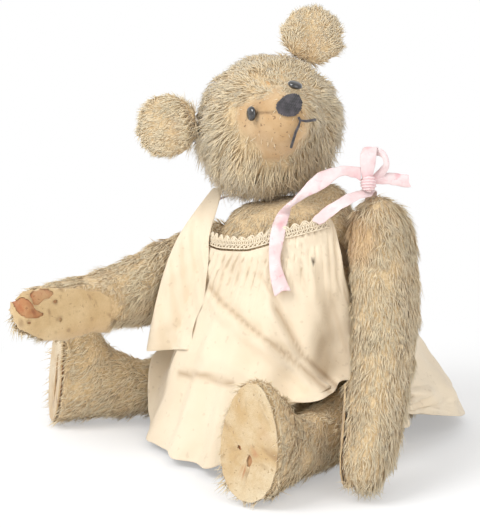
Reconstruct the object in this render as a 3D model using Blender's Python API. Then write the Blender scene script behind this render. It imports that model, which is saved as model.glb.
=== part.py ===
"""Threadbare jointed teddy bear, seated, in a gathered cotton slip dress with ribbon bows.

Metres, +Z up. The bear faces -Y, +X is its left. The origin is the middle of the flat
seat under the torso. Limbs and head turn on card discs held by a steel pin.
"""

from math import cos, pi, radians, sin, sqrt

import bmesh
import bpy
import numpy as np
from mathutils import Matrix, Vector
from mathutils.bvhtree import BVHTree

# Torso: half widths and half depths of its sections, from the seat to the neck
TORSO_SECTIONS = (
    (0.000, 0.022, 0.026),
    (0.006, 0.029, 0.036),
    (0.026, 0.035, 0.045),
    (0.055, 0.040, 0.054),
    (0.080, 0.054, 0.062),
    (0.105, 0.067, 0.066),
    (0.133, 0.071, 0.063),
    (0.160, 0.067, 0.057),
    (0.180, 0.059, 0.049),
    (0.194, 0.045, 0.038),
    (0.202, 0.028, 0.025),
)
TORSO_TOP = 0.205
TORSO_LEAN = radians(8)
LEAN_HEIGHT = 0.09
HUMP = 0.012
SHOULDER_FILL = 0.009
NECK_RADIUS = 0.026
HEAD_ROOM = 0.0006
HEAD_ROOM_ANGLE = 62

# Head: a round skull with full cheeks and a long blunt muzzle
HEAD_CENTRE = Vector((-0.0440, 0.0040, 0.2568))
HEAD_AZIMUTH = radians(51)
HEAD_ELEVATION = radians(19)
HEAD_ROLL = radians(29.5)
SKULL = Vector((0.0595, 0.0535, 0.0565))
CHEEK = 0.005
MUZZLE_LENGTH = 0.038
MUZZLE_DROP = 0.004
MUZZLE_SPREAD = 0.42
EAR_RADIUS = 0.027
EAR_THICKNESS = 0.015
EAR_OUT = 0.083
EAR_ANGLE = radians(31)
EYE_RADIUS = 0.0062
EYE_HEIGHT = 0.0115
EYE_SPACING = 0.0345
EYE_SHIFT = -0.0045
EYE_RISE = 0.006
NOSE_WIDTH = 0.021
NOSE_HEIGHT = 0.017
NOSE_DROP = -0.0015
NOSE_RISE = 0.0016
THREAD_RADIUS = 0.0011
THREAD_LIFT = 0.0012
MOUTH_DROP = 0.012
MOUTH_REACH = 0.012

# Arms: distance from the shoulder pin, bend, half width and half thickness
ARM_SECTIONS = (
    (-0.038, 0.002, 0.017, 0.012),
    (-0.028, 0.003, 0.027, 0.019),
    (-0.010, 0.005, 0.034, 0.024),
    (0.022, 0.008, 0.036, 0.025),
    (0.060, 0.010, 0.034, 0.025),
    (0.098, 0.008, 0.0285, 0.024),
    (0.132, 0.004, 0.0250, 0.022),
    (0.163, 0.000, 0.0255, 0.020),
    (0.188, -0.004, 0.0230, 0.017),
    (0.203, -0.008, 0.016, 0.012),
)
ARM_ENDS = ((-0.043, 0.002), (0.2095, -0.009))
PAW_TURN_IN = 0.55
ARM_THICK = 0.025
ARM_MIDDLE = 0.0259
LEFT_SHOULDER_HEIGHT = 0.158
RIGHT_SHOULDER_HEIGHT = 0.145
SHOULDER_HALF_WIDTH = 0.0690
LEFT_SHOULDER = (radians(19), radians(10), radians(33))
RIGHT_SHOULDER = (radians(3), radians(7), radians(84))
PAD_WRIST = 0.112
PAD_TIP = 0.203
PAD_SHARE = 0.86

# Legs: distance from the hip pin, middle height, half height and half thickness
LEG_SECTIONS = (
    (-0.034, 0.036, 0.017, 0.012),
    (-0.022, 0.037, 0.028, 0.020),
    (0.000, 0.038, 0.035, 0.025),
    (0.045, 0.036, 0.034, 0.025),
    (0.090, 0.031, 0.029, 0.023),
    (0.121, 0.029, 0.0265, 0.0215),
    (0.145, 0.034, 0.032, 0.023),
    (0.165, 0.045, 0.0430, 0.0265),
    (0.180, 0.050, 0.0480, 0.0290),
    (0.192, 0.051, 0.0490, 0.0285),
)
LEG_BACK = (-0.040, 0.036)
LEG_MIDDLE = 0.0259
HIP_HEIGHT = 0.038
HIP_GAP = 0.0028
LEFT_HIP = (-0.027, radians(4.5))
RIGHT_HIP = (0.002, radians(37))
SOLE_MIDDLE = 0.0505
SOLE_HALF = (0.0465, 0.0262)
SOLE_EGG = 0.16
SOLE_LEAN = radians(6)

# Felt pads over an older rust-coloured felt
FELT = 0.0012
LINING = 0.0008
PAW_LIFT = 0.0011
PAW_GAP = 0.0010
SOLE_LIFT = 0.0005
SOLE_GAP = 0.0005
LINING_SHARE = 0.9

# Disc joints
ARM_DISC = 0.0125
LEG_DISC = 0.0140
NECK_DISC = 0.0120
DISC_THICKNESS = 0.0020
DISC_WALL = 0.0052
PIN_RADIUS = 0.0017
WASHER_RADIUS = 0.0050
WASHER_THICKNESS = 0.0012
CLEARANCE = 0.0004
HOLE_CLEARANCE = 0.0006

# Dress
CLOTH = 0.0011
CLOTH_LIFT = 0.0038
NECK_EASE = 0.0036
DRESS_COLUMNS = 70
DRESS_ROWS = 12
DRESS_FOLDS = 16
FOLD_DEPTH = 0.0090
HEM_REST = 0.0012
TENT_SLOPE = 2.2
SETTLE_ROUNDS = 6
LEG_ROOM = 0.0080
ARM_ROOM = 0.0060
LACE_HEIGHT = 0.0115
LACE_THICKNESS = 0.0009
LACE_GAP = 0.0008
RIBBON_WIDTH = 0.014
RIBBON_THICKNESS = 0.0008

COLOURS = {
    "mohair": (0.46, 0.36, 0.22, 0.95),
    "felt": (0.56, 0.40, 0.22, 0.95),
    "rust_felt": (0.42, 0.15, 0.06, 0.95),
    "button": (0.01, 0.01, 0.012, 0.15),
    "thread": (0.03, 0.03, 0.035, 0.8),
    "card": (0.38, 0.27, 0.16, 0.9),
    "steel": (0.45, 0.44, 0.42, 0.4),
    "cotton": (0.80, 0.68, 0.50, 0.9),
    "lace": (0.78, 0.66, 0.46, 0.9),
    "ribbon": (0.85, 0.58, 0.58, 0.5),
}


def clear_scene():
    for item in list(bpy.data.objects):
        bpy.data.objects.remove(item, do_unlink=True)


def material(kind):
    found = bpy.data.materials.get(kind)
    if found:
        return found
    red, green, blue, rough = COLOURS[kind]
    made = bpy.data.materials.new(kind)
    made.use_nodes = True
    shader = made.node_tree.nodes["Principled BSDF"]
    shader.inputs["Base Color"].default_value = (red, green, blue, 1)
    shader.inputs["Roughness"].default_value = rough
    shader.inputs["Metallic"].default_value = 1.0 if kind == "steel" else 0.0
    made.diffuse_color = (red, green, blue, 1)
    return made


def solid(name, points, faces, kind):
    """A closed mesh object, its faces turned outwards."""
    mesh = bpy.data.meshes.new(name)
    mesh.from_pydata([tuple(p) for p in points], [], faces)
    work = bmesh.new()
    work.from_mesh(mesh)
    bmesh.ops.recalc_face_normals(work, faces=work.faces)
    work.to_mesh(mesh)
    work.free()
    mesh.shade_smooth()
    made = bpy.data.objects.new(name, mesh)
    made.data.materials.append(material(kind))
    bpy.context.collection.objects.link(made)
    return made


def grid_faces(rows, columns, closed, start=0):
    """Quads of a grid of points, row by row, its last column joined to its first if closed."""
    spans = columns if closed else columns - 1
    faces = []
    for i in range(rows - 1):
        for j in range(spans):
            k = (j + 1) % columns
            a, b = start + i * columns, start + (i + 1) * columns
            faces.append((a + j, a + k, b + k, b + j))
    return faces


def loft(name, rings, first, last, kind):
    """A closed body through rings of points, with a point at each end."""
    count = len(rings[0])
    points = [p for ring in rings for p in ring] + [first, last]
    faces = grid_faces(len(rings), count, True)
    base, tip = len(points) - 2, len(points) - 1
    top = (len(rings) - 1) * count
    for j in range(count):
        k = (j + 1) % count
        faces.append((base, k, j))
        faces.append((tip, top + j, top + k))
    return solid(name, points, faces, kind)


def turned(name, profile, place, sides, kind):
    """A closed body of revolution about its own Z axis, from (radius, height) pairs."""
    rings = []
    for radius, height in profile:
        turns = [2 * pi * j / sides for j in range(sides)]
        rings.append([place @ Vector((radius * cos(t), radius * sin(t), height)) for t in turns])
    closed = profile[0][0] > 0
    if closed:
        faces = grid_faces(len(rings), sides, True)
        last = (len(rings) - 1) * sides
        faces += [(last + j, last + (j + 1) % sides, (j + 1) % sides, j) for j in range(sides)]
        return solid(name, [p for ring in rings for p in ring], faces, kind)
    first = place @ Vector((0, 0, profile[0][1]))
    end = place @ Vector((0, 0, profile[-1][1]))
    return loft(name, rings[1:-1], first, end, kind)


def oval_point(t, half_width, half_height, power=2.0):
    """The point of a superellipse at an angle."""
    c, s = cos(t), sin(t)
    x = half_width * abs(c) ** (2 / power) * (1 if c >= 0 else -1)
    y = half_height * abs(s) ** (2 / power) * (1 if s >= 0 else -1)
    return x, y


def oval(count, half_width, half_height, power=2.0):
    return [oval_point(2 * pi * j / count, half_width, half_height, power) for j in range(count)]


def surface_of(made):
    """The nearest-point tree of an object's mesh in world space."""
    points = [made.matrix_world @ v.co for v in made.data.vertices]
    return BVHTree.FromPolygons(points, [tuple(p.vertices) for p in made.data.polygons])


def push_out(point, trees, lift, rounds=3):
    """The point moved until it lies at least lift outside each surface."""
    for _ in range(rounds):
        for tree in trees:
            place, normal, _, distance = tree.find_nearest(point)
            inside = (point - place).dot(normal) < 0
            if inside or distance < lift:
                point = place + normal * lift
    return point


def stand_off(point, tree, lift):
    """The point moved away from the body's axis until it lies outside an open sheet."""
    axis = lean((0, 0, point.z))
    outward = Vector((point.x - axis.x, point.y - axis.y, 0)).normalized()
    hit, _ = cast(tree, axis + outward * 0.3, -outward)
    if hit and (hit - axis).dot(outward) + lift > (point - axis).length:
        return hit + outward * lift
    return point


def combine(made, other, operation):
    step = made.modifiers.new(operation.lower(), "BOOLEAN")
    step.object = other
    step.operation = operation
    other.hide_render = True
    other.display_type = "WIRE"


def cut(made, cutter):
    combine(made, cutter, "DIFFERENCE")


def unite(made, other):
    combine(made, other, "UNION")


def aimed(place, direction):
    """A frame at a place, its Z axis along a direction."""
    turn = Vector(direction).to_track_quat("Z", "Y").to_matrix().to_4x4()
    return Matrix.Translation(place) @ turn


def lean(point):
    """The torso leans to the bear's right above the seat."""
    share = min(max(point[2] / LEAN_HEIGHT, 0), 1)
    angle = TORSO_LEAN * share * share * (3 - 2 * share)
    x = point[0] * cos(angle) - point[2] * sin(angle)
    z = point[0] * sin(angle) + point[2] * cos(angle)
    return Vector((x, point[1], z))


def torso_section(height):
    """Half width and half depth of the torso at a height."""
    rows = np.array(TORSO_SECTIONS)
    return np.interp(height, rows[:, 0], rows[:, 1]), np.interp(height, rows[:, 0], rows[:, 2])


def make_torso():
    rings = []
    for height, width, depth in TORSO_SECTIONS:
        ring = []
        for x, y in oval(22, width, depth, 2.2):
            hump = HUMP * np.exp(-((height - 0.172) / 0.03) ** 2) * max(y / depth, 0) ** 2
            fill = SHOULDER_FILL * np.exp(-((height - 0.186) / 0.016) ** 2) * max(x / width, 0)
            ring.append(lean((x + fill, y + hump, height)))
        rings.append(ring)
    return loft("torso", rings, Vector((0, 0, 0)), lean((0, 0, TORSO_TOP)), "mohair")


def make_head_room(frame):
    """A cutter: the bowl that the turning head needs in the top of the body."""
    profile = []
    for i in range(9):
        polar = radians(HEAD_ROOM_ANGLE) * i / 8
        turns = [2 * pi * j / 36 for j in range(36)]
        rays = [Vector((sin(polar) * cos(t), sin(polar) * sin(t), -cos(polar))) for t in turns]
        radius = max(head_radius(ray) for ray in rays) + HEAD_ROOM
        profile.append((radius * sin(polar), -radius * cos(polar)))
    profile.append((0, profile[-1][1]))
    return turned("head_room", profile, frame, 24, "mohair")


def make_neck_stub(neck):
    """The bulge on top of the body that the head's disc bears on."""
    place, axis = neck
    middle = place - axis * (NECK_RADIUS + CLEARANCE)
    turns = [pi * i / 9 for i in range(1, 9)]
    profile = [(NECK_RADIUS * sin(t), -NECK_RADIUS * cos(t)) for t in turns]
    profile = [(0, -NECK_RADIUS)] + profile + [(0, NECK_RADIUS)]
    return turned("neck_stub", profile, aimed(middle, axis), 16, "mohair")


def head_frame():
    """The head's frame: X to its left ear, -Y along the muzzle, Z through the crown."""
    a, e, roll = HEAD_AZIMUTH, HEAD_ELEVATION, HEAD_ROLL
    forward = Vector((sin(a) * cos(e), -cos(a) * cos(e), sin(e)))
    level = Vector((cos(a), sin(a), 0))
    upright = Vector((-sin(a) * sin(e), cos(a) * sin(e), cos(e)))
    up = upright * cos(roll) - level * sin(roll)
    left = up.cross(forward)
    frame = Matrix((left, -forward, up)).transposed().to_4x4()
    frame.translation = HEAD_CENTRE
    return frame


def head_radius(direction):
    """Distance from the head's middle to its surface in a direction of its own frame."""
    scaled = Vector((direction.x / SKULL.x, direction.y / SKULL.y, direction.z / SKULL.z))
    radius = 1 / scaled.length
    cheek = np.exp(-((direction.z + 0.35) / 0.35) ** 2) * abs(direction.x) ** 2
    muzzle = Vector((0, -1, -MUZZLE_DROP / 0.08)).normalized()
    angle = direction.angle(muzzle)
    crown = np.exp(-((direction.z - 0.85) / 0.4) ** 2) * 0.002
    return radius + CHEEK * cheek + crown + MUZZLE_LENGTH * np.exp(-((angle / MUZZLE_SPREAD) ** 2.6))


def neck_pin(frame):
    """The head's pin: where its axis leaves the head below, and its direction up into it."""
    axis = (frame.to_3x3() @ Vector((0, 0, 1))).normalized()
    below = Vector((0, 0, -1))
    return frame @ (below * head_radius(below)), axis


def make_head(frame):
    """Rings round the muzzle's axis, so that the faces are finest on the face."""
    rings = []
    for i in range(1, 15):
        polar = pi * (i / 15) ** 1.12
        ring = []
        for j in range(24):
            t = 2 * pi * j / 24
            ray = Vector((sin(polar) * cos(t), -cos(polar), sin(polar) * sin(t)))
            ring.append(frame @ (ray * head_radius(ray)))
        rings.append(ring)
    tip, back = Vector((0, -1, 0)), Vector((0, 1, 0))
    return loft("head", rings, frame @ (tip * head_radius(tip)), frame @ (back * head_radius(back)), "mohair")


def make_ear(name, frame, side, head):
    """A cupped, padded half round, seated on the head."""
    angle = EAR_ANGLE
    outward = Vector((side * cos(angle), 0, sin(angle)))
    middle = outward * EAR_OUT
    across = Vector((-side * sin(angle), 0, cos(angle)))
    rings = []
    for share in (0.45, 0.8, 1.0, 0.8, 0.45):
        face = -1 if len(rings) < 2 else (0 if len(rings) == 2 else 1)
        ring = []
        for x, y in oval(16, EAR_RADIUS * share, EAR_RADIUS * share * 1.04):
            cup = 0.006 * (1 - share) + 0.004 * (x / EAR_RADIUS)
            thick = EAR_THICKNESS / 2 * sqrt(max(0, 1 - share * share)) * face
            ring.append(frame @ (middle + outward * x + across * y + Vector((0, cup + thick, 0))))
        rings.append(ring)
    half = EAR_THICKNESS / 2
    front = frame @ (middle + Vector((0, 0.006 - half, 0)))
    rear = frame @ (middle + Vector((0, 0.006 + half, 0)))
    ear = loft(name, rings, front, rear, "mohair")
    cut(ear, head)
    return ear


def grown_copy(made, name, lift):
    """A cutter: an object's own shape, grown by a lift."""
    copy = bpy.data.objects.new(name, made.data.copy())
    bpy.context.collection.objects.link(copy)
    normals = [v.normal.copy() for v in copy.data.vertices]
    for vertex, normal in zip(copy.data.vertices, normals):
        vertex.co += normal * lift
    copy.hide_render = True
    copy.display_type = "WIRE"
    return copy


def cast(tree, start, direction):
    place, normal, _, _ = tree.ray_cast(start, direction)
    return place, normal


def patch(name, tree, frame, outline, lift, thickness, kind, rings=4, sides=20, reach=0.06, spread=None):
    """A thin piece laid on a surface: the frame's Z points off it, outline(t) gives its edge."""
    down = -(frame.to_3x3() @ Vector((0, 0, 1)))
    tops, bottoms = [], []
    spots = [(0.0, 0.0)]
    for i in range(1, rings + 1):
        for j in range(sides):
            x, y = outline(2 * pi * j / sides)
            spots.append((x * i / rings, y * i / rings))
    if spread:
        spots = [spread(x, y) for x, y in spots]
    for x, y in spots:
        place, _ = cast(tree, frame @ Vector((x, y, reach)), down)
        bottoms.append(place - down * lift)
        tops.append(place - down * (lift + thickness))
    count = len(spots)
    faces = []
    for layer in (0, count):
        faces += [(layer, layer + 1 + j, layer + 1 + (j + 1) % sides) for j in range(sides)]
        faces += grid_faces(rings, sides, True, layer + 1)
    rim = 1 + (rings - 1) * sides
    for j in range(sides):
        k = (j + 1) % sides
        faces.append((rim + j, rim + k, count + rim + k, count + rim + j))
    return solid(name, tops + bottoms, faces, kind)


def tube(name, path, radius, sides, kind):
    """A round bar along a path."""
    rings = []
    for i, point in enumerate(path):
        along = (path[min(i + 1, len(path) - 1)] - path[max(i - 1, 0)]).normalized()
        side = along.cross(Vector((0.13, 0.31, 0.94))).normalized()
        other = along.cross(side)
        turns = [2 * pi * j / sides for j in range(sides)]
        rings.append([point + (side * cos(t) + other * sin(t)) * radius for t in turns])
    return loft(name, rings, path[0], path[-1], kind)


def make_face(frame, head):
    tree = surface_of(head)
    for name, side in (("right_eye", -1), ("left_eye", 1)):
        start = frame @ Vector((EYE_SHIFT + side * EYE_SPACING / 2, -0.2, EYE_HEIGHT))
        place, normal = cast(tree, start, frame.to_3x3() @ Vector((0, 1, 0)))
        seat = aimed(place + normal * CLEARANCE, normal)
        r, h = EYE_RADIUS, EYE_RISE
        dome = [(0, 0), (r * 0.6, 0), (r * 0.95, h * 0.3), (r, h * 0.5), (r * 0.8, h * 0.85), (0, h)]
        eye = turned(name, dome, seat, 14, "button")
        cut(eye, bpy.data.objects["head_cutter"])
    nose = frame @ Matrix.Translation(Vector((0, 0, -NOSE_DROP))) @ Matrix.Rotation(pi / 2, 4, "X")
    tree_grown = surface_of(bpy.data.objects["head_cutter"])

    def nose_edge(t):
        """A rounded trapezium, narrower below."""
        x, y = cos(t), sin(t)
        return NOSE_WIDTH / 2 * x * (1 + 0.22 * y), NOSE_HEIGHT / 2 * y

    patch("nose_stitching", tree_grown, nose, nose_edge, CLEARANCE / 2, NOSE_RISE, "thread", 2, 14, 0.2)

    def on_muzzle(x, z):
        start = frame @ Vector((x, -0.2, z))
        place, normal = cast(tree, start, frame.to_3x3() @ Vector((0, 1, 0)))
        return place + normal * (THREAD_RADIUS + THREAD_LIFT)

    foot = -NOSE_DROP - NOSE_HEIGHT / 2 - 0.0022
    corner = foot - 0.003
    left = [on_muzzle(-MOUTH_REACH * s, corner - MOUTH_DROP * s ** 1.4) for s in (1, 0.75, 0.5, 0.25, 0)]
    right = [on_muzzle(MOUTH_REACH * s, corner - MOUTH_DROP * 0.4 * s) for s in (0.3, 0.65, 1)]
    mouth = tube("mouth_stitching", left + right, THREAD_RADIUS, 6, "thread")
    stem = tube("mouth_stem", [on_muzzle(0, foot), on_muzzle(0, corner)], THREAD_RADIUS * 0.98, 6, "thread")
    unite(mouth, stem)


def shoulder(side, height, cant, yaw, swing):
    """The arm's pin: its place, its axis out of the torso, and the arm's direction and bend."""
    place = lean((side * SHOULDER_HALF_WIDTH, 0, height))
    axis = Vector((side * cos(cant) * cos(yaw), cos(cant) * sin(yaw), sin(cant)))
    down = (Vector((0, 0, -1)) - axis * Vector((0, 0, -1)).dot(axis)).normalized()
    front = down.cross(axis) * side
    along = down * cos(swing) + front * sin(swing)
    bend = down * sin(swing) - front * cos(swing)
    return place, axis, along, bend


def make_arm(name, pin):
    place, axis, along, bend = pin
    middle = place + axis * ARM_MIDDLE
    rings = []
    for reach, offset, width, thick in ARM_SECTIONS:
        inward = axis * ((ARM_THICK - thick) * PAW_TURN_IN if reach > 0 else 0)
        centre = middle + along * reach + bend * offset - inward
        rings.append([centre + bend * x + axis * y for x, y in oval(18, width, thick, 2.3)])
    ends = [middle + along * reach + bend * offset for reach, offset in ARM_ENDS]
    ends[1] -= axis * ((ARM_THICK - ARM_SECTIONS[-1][3]) * PAW_TURN_IN)
    return loft(name, rings, ends[0], ends[1], "mohair")


def hip(torso, offset, splay, side):
    """The leg's pin: its place beside the torso, its axis and the leg's direction."""
    axis = Vector((side * cos(splay), sin(splay), 0))
    along = Vector((side * sin(splay), -cos(splay), 0))
    _, _, half, thick = LEG_SECTIONS[2]
    reach = 0
    for vertex in torso.data.vertices:
        level = abs(vertex.co.z - HIP_HEIGHT) / (half + 0.001)
        if level < 1:
            room = LEG_MIDDLE - thick * (1 - level ** 2.2) ** (1 / 2.2)
            reach = max(reach, vertex.co.dot(axis) - room)
    place = axis * (reach + HIP_GAP) + along * offset + Vector((0, 0, HIP_HEIGHT))
    return place, axis, along


def sole_shape(count, half_height, half_width):
    """The egg of the foot, widest below its middle."""
    points = []
    for x, y in oval(count, half_width, half_height):
        points.append((x * (1 - SOLE_EGG * y / half_height), y))
    return points


def make_leg(name, pin):
    place, axis, along = pin
    middle = place + axis * LEG_MIDDLE
    rings = []
    for reach, height, half, thick in LEG_SECTIONS:
        centre = middle + along * reach
        foot = min(max((reach - 0.115) / 0.05, 0), 1)
        ring = []
        for (x, y), (egg, _) in zip(oval(18, thick, half, 2.2), sole_shape(18, half, thick)):
            wide = x * (1 - foot) + egg * foot
            tilt = -along * (y * sin(SOLE_LEAN) * foot)
            ring.append(Vector((centre.x, centre.y, height)) + axis * wide + Vector((0, 0, y)) + tilt)
        rings.append(ring)
    heel = middle + along * LEG_SECTIONS[-1][0]
    back = middle + along * LEG_BACK[0]
    ends = (Vector((back.x, back.y, LEG_BACK[1])), Vector((heel.x, heel.y, LEG_SECTIONS[-1][1])))
    return loft(name, rings, ends[0], ends[1], "mohair")


def torn_hole(name, frame, points):
    """A cutter for a moth hole, its edge given in the pad's own plane."""
    depth = 0.05
    low = [frame @ Vector((x, y, -depth)) for x, y in points]
    high = [frame @ Vector((x, y, depth)) for x, y in points]
    count = len(points)
    faces = [tuple(range(count)), tuple(range(2 * count - 1, count - 1, -1))]
    faces += [(j, (j + 1) % count, count + (j + 1) % count, count + j) for j in range(count)]
    return solid(name, low + high, faces, "rust_felt")


def ragged(x, y, length, width, turn, seed, corners=9):
    """The uneven edge of a hole of a given length and width."""
    draw = np.random.default_rng(seed)
    points = []
    for j in range(corners):
        t = 2 * pi * j / corners
        r = 1 + draw.uniform(-0.22, 0.22)
        u, v = length / 2 * r * cos(t), width / 2 * r * sin(t)
        points.append((x + u * cos(turn) - v * sin(turn), y + u * sin(turn) + v * cos(turn)))
    return points


def felt_pad(name, tree, frame, outline, lift, gap, holes, spread=None):
    """A worn felt pad with its holes, and the older felt that shows through them."""
    patch(name + "_lining", tree, frame, lambda t: tuple(LINING_SHARE * v for v in outline(t)),
          lift, LINING, "rust_felt", 3, 18, spread=spread)
    pad = patch(name, tree, frame, outline, lift + LINING + gap, FELT, "felt", 3, 18, spread=spread)
    for i, points in enumerate(holes):
        cut(pad, torn_hole(f"{name}_hole_{i}", frame, points))
    return pad


def make_paw_pad(name, arm, pin, holes):
    """The pad on the inner side of the forearm, as wide as the paw lets it be."""
    place, axis, along, bend = pin
    side = 1 if along.cross(bend).dot(axis) < 0 else -1
    frame = Matrix((along, bend * side, -axis)).transposed().to_4x4()
    frame.translation = place + axis * ARM_MIDDLE
    sections = np.array(ARM_SECTIONS)

    def edge(t):
        return oval_point(t, 1, 1, 2.6)

    def spread(x, y):
        reach = PAD_WRIST + (PAD_TIP - PAD_WRIST) * (x + 1) / 2
        offset = np.interp(reach, sections[:, 0], sections[:, 1])
        width = np.interp(reach, sections[:, 0], sections[:, 2])
        return reach, side * offset + PAD_SHARE * width * y

    return felt_pad(name, surface_of(arm), frame, edge, PAW_LIFT, PAW_GAP, holes, spread)


def make_sole(name, leg, pin, holes):
    """The felt sole on the end of the foot."""
    place, axis, along = pin
    middle = place + axis * LEG_MIDDLE + along * LEG_SECTIONS[-1][0]
    up = Vector((0, 0, cos(SOLE_LEAN))) - along * sin(SOLE_LEAN)
    across = up.cross(along)
    frame = Matrix((across, up, along * cos(SOLE_LEAN) + Vector((0, 0, sin(SOLE_LEAN))))).transposed().to_4x4()
    frame.translation = Vector((middle.x, middle.y, SOLE_MIDDLE))

    def edge(t):
        x, y = cos(t), sin(t)
        return SOLE_HALF[1] * x * (1 - SOLE_EGG * y), SOLE_HALF[0] * y

    return felt_pad(name, surface_of(leg), frame, edge, SOLE_LIFT, SOLE_GAP, holes)


def disc_joint(name, place, axis, radius, torso, limb):
    """Two card discs on a steel pin, one in the torso and one in the limb or head."""
    frame = aimed(place, axis)
    near = DISC_WALL
    depth = DISC_THICKNESS + WASHER_THICKNESS + 4 * CLEARANCE
    far = near + depth
    hole = PIN_RADIUS + HOLE_CLEARANCE
    pocket = radius + HOLE_CLEARANCE
    shape = [(0, -far), (pocket, -far), (pocket, -near), (hole, -near),
             (hole, near), (pocket, near), (pocket, far), (0, far)]
    cutter = turned(name + "_pocket", shape, frame, 16, "card")
    cut(torso, cutter)
    cut(limb, cutter)
    inner = near + CLEARANCE
    outer = inner + DISC_THICKNESS
    for piece, sign in (("torso_disc", -1), ("disc", 1)):
        ring = [(hole, sign * inner), (radius, sign * inner), (radius, sign * outer), (hole, sign * outer)]
        turned(f"{name}_{piece}", ring, frame, 16, "card")
    head = outer + CLEARANCE
    end = head + WASHER_THICKNESS
    pin = [(0, -end), (WASHER_RADIUS, -end), (WASHER_RADIUS, -head), (PIN_RADIUS, -head),
           (PIN_RADIUS, head), (WASHER_RADIUS, head), (WASHER_RADIUS, end), (0, end)]
    turned(name + "_pin", pin, frame, 12, "steel")


def heading(angle):
    """A level direction, from the front (0) towards the bear's left."""
    return Vector((sin(angle), -cos(angle), 0))


def around(keys, angle):
    """A value given at some headings in degrees, blended in between."""
    stops = [k[0] for k in keys] + [keys[0][0] + 360]
    values = [k[1] for k in keys] + [keys[0][1]]
    return float(np.interp((np.degrees(angle) - stops[0]) % 360 + stops[0], stops, values))


# Heights of the dress's top edge, reach of its hem and height of its hem, round the body
DRESS_TOP = ((-180, 0.170), (-150, 0.172), (-128, 0.140), (-95, 0.108), (-62, 0.128), (-46, 0.170),
             (-20, 0.168), (10, 0.168), (28, 0.172), (46, 0.180), (55, 0.184), (62, 0.183), (69, 0.130), (80, 0.092),
             (100, 0.092), (128, 0.140), (150, 0.172))
HEM_REACH = ((-180, 0.122), (-140, 0.118), (-100, 0.120), (-70, 0.128), (-45, 0.132), (-15, 0.126),
             (15, 0.130), (30, 0.124), (44, 0.098), (54, 0.077), (66, 0.073), (78, 0.080), (90, 0.090),
             (100, 0.108), (110, 0.128), (125, 0.142), (140, 0.146), (165, 0.136))
HEM_CURVE = ((-180, 1.4), (-100, 1.2), (-60, 0.95), (-20, 1.05), (40, 1.15), (60, 1.15), (80, 1.15), (120, 1.2), (150, 1.3))


def torso_reach(height, angle):
    width, depth = torso_section(height)
    x, y = sin(angle), cos(angle)
    return 1 / sqrt((x / width) ** 2 + (y / depth) ** 2)


def fold(angle, share):
    """The gathers, always outwards: fine below the neckline and deep at the hem."""
    swing = sin(DRESS_FOLDS * angle + 0.9 * sin(3 * angle) + 0.8 * share) + 0.35 * sin(5 * angle + 2.0)
    return FOLD_DEPTH * (0.12 + 0.88 * share) * max(0.5 + 0.5 * swing, 0)


def leg_tops(legs):
    """Heights of the legs' upper sides, sampled on a grid."""
    spots = []
    for x in np.arange(-0.21, 0.14, 0.005):
        for y in np.arange(-0.20, 0.10, 0.005):
            for tree in legs:
                hit, _ = cast(tree, Vector((x, y, 0.3)), Vector((0, 0, -1)))
                if hit:
                    spots.append(tuple(hit))
    return np.array(spots)


def tent(x, y, level, tops):
    """Height of cloth that falls at a given level but lies over the legs."""
    apart = np.hypot(tops[:, 0] - x, tops[:, 1] - y)
    return max(level, float(np.max(tops[:, 2] - TENT_SLOPE * apart)) + CLOTH_LIFT)


def make_dress(torso, limbs):
    """A gathered slip that hangs from the chest and spreads over the lap and the floor."""
    legs = [surface_of(limbs["left_leg"]), surface_of(limbs["right_leg"])]
    arms = [surface_of(limbs["left_arm"]), surface_of(limbs["right_arm"])]
    tops = leg_tops(legs)
    columns, rows = DRESS_COLUMNS, DRESS_ROWS

    def place(angle, reach):
        """The cloth's point at a heading, a given share of the way from neckline to hem."""
        top = around(DRESS_TOP, angle)
        start = torso_reach(top, angle) + CLOTH_LIFT + NECK_EASE
        end = around(HEM_REACH, angle)
        level = top * (1 - reach) + HEM_REST * reach
        far = start + (end - start) * reach ** around(HEM_CURVE, angle)
        point = lean(heading(angle) * far + Vector((0, 0, level)))
        point.z = tent(point.x, point.y, point.z, tops)
        return point

    grid = []
    for i in range(rows):
        grid.append([place(2 * pi * j / columns, i / (rows - 1)) for j in range(columns)])
    pads = [surface_of(bpy.data.objects["left_paw_pad"])]
    body = [surface_of(torso)] + legs
    grid = settle(grid, arms + pads + body, SETTLE_ROUNDS, True, 0.25)
    for i in range(1, rows):
        for j in range(columns):
            angle = 2 * pi * j / columns
            near = min(tree.find_nearest(grid[i][j])[3] for tree in arms + pads)
            crease = 0.0003 * (j % 3) * min(i, 2)
            grid[i][j] += heading(angle) * min(fold(angle, i / (rows - 1)) + crease, max(near - ARM_ROOM, crease))
            raised = push_out(grid[i][j], legs, LEG_ROOM)
            if raised.z > grid[i][j].z or raised.z < 0.035:
                grid[i][j] = raised
    return sheet_solid("dress", grid, CLOTH, "cotton", True), grid


def settle(grid, trees, rounds, closed, share=0.3):
    """Smooths a draped grid, its first row held, and keeps it off what it hangs on."""
    rows, columns = len(grid), len(grid[0])
    for _ in range(rounds):
        fresh = [list(row) for row in grid]
        for i in range(rows):
            for j in range(columns):
                before = (j - 1) % columns if closed else max(j - 1, 0)
                after = (j + 1) % columns if closed else min(j + 1, columns - 1)
                around_it = grid[i][before] + grid[i][after]
                around_it += grid[max(i - 1, 0)][j] + grid[min(i + 1, rows - 1)][j]
                point = grid[i][j]
                if i > 0:
                    point = point * (1 - share) + around_it * (share / 4)
                point = push_out(point, trees, CLOTH_LIFT)
                point.z = max(point.z, HEM_REST + CLOTH)
                fresh[i][j] = point
        grid = fresh
    return grid


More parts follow.
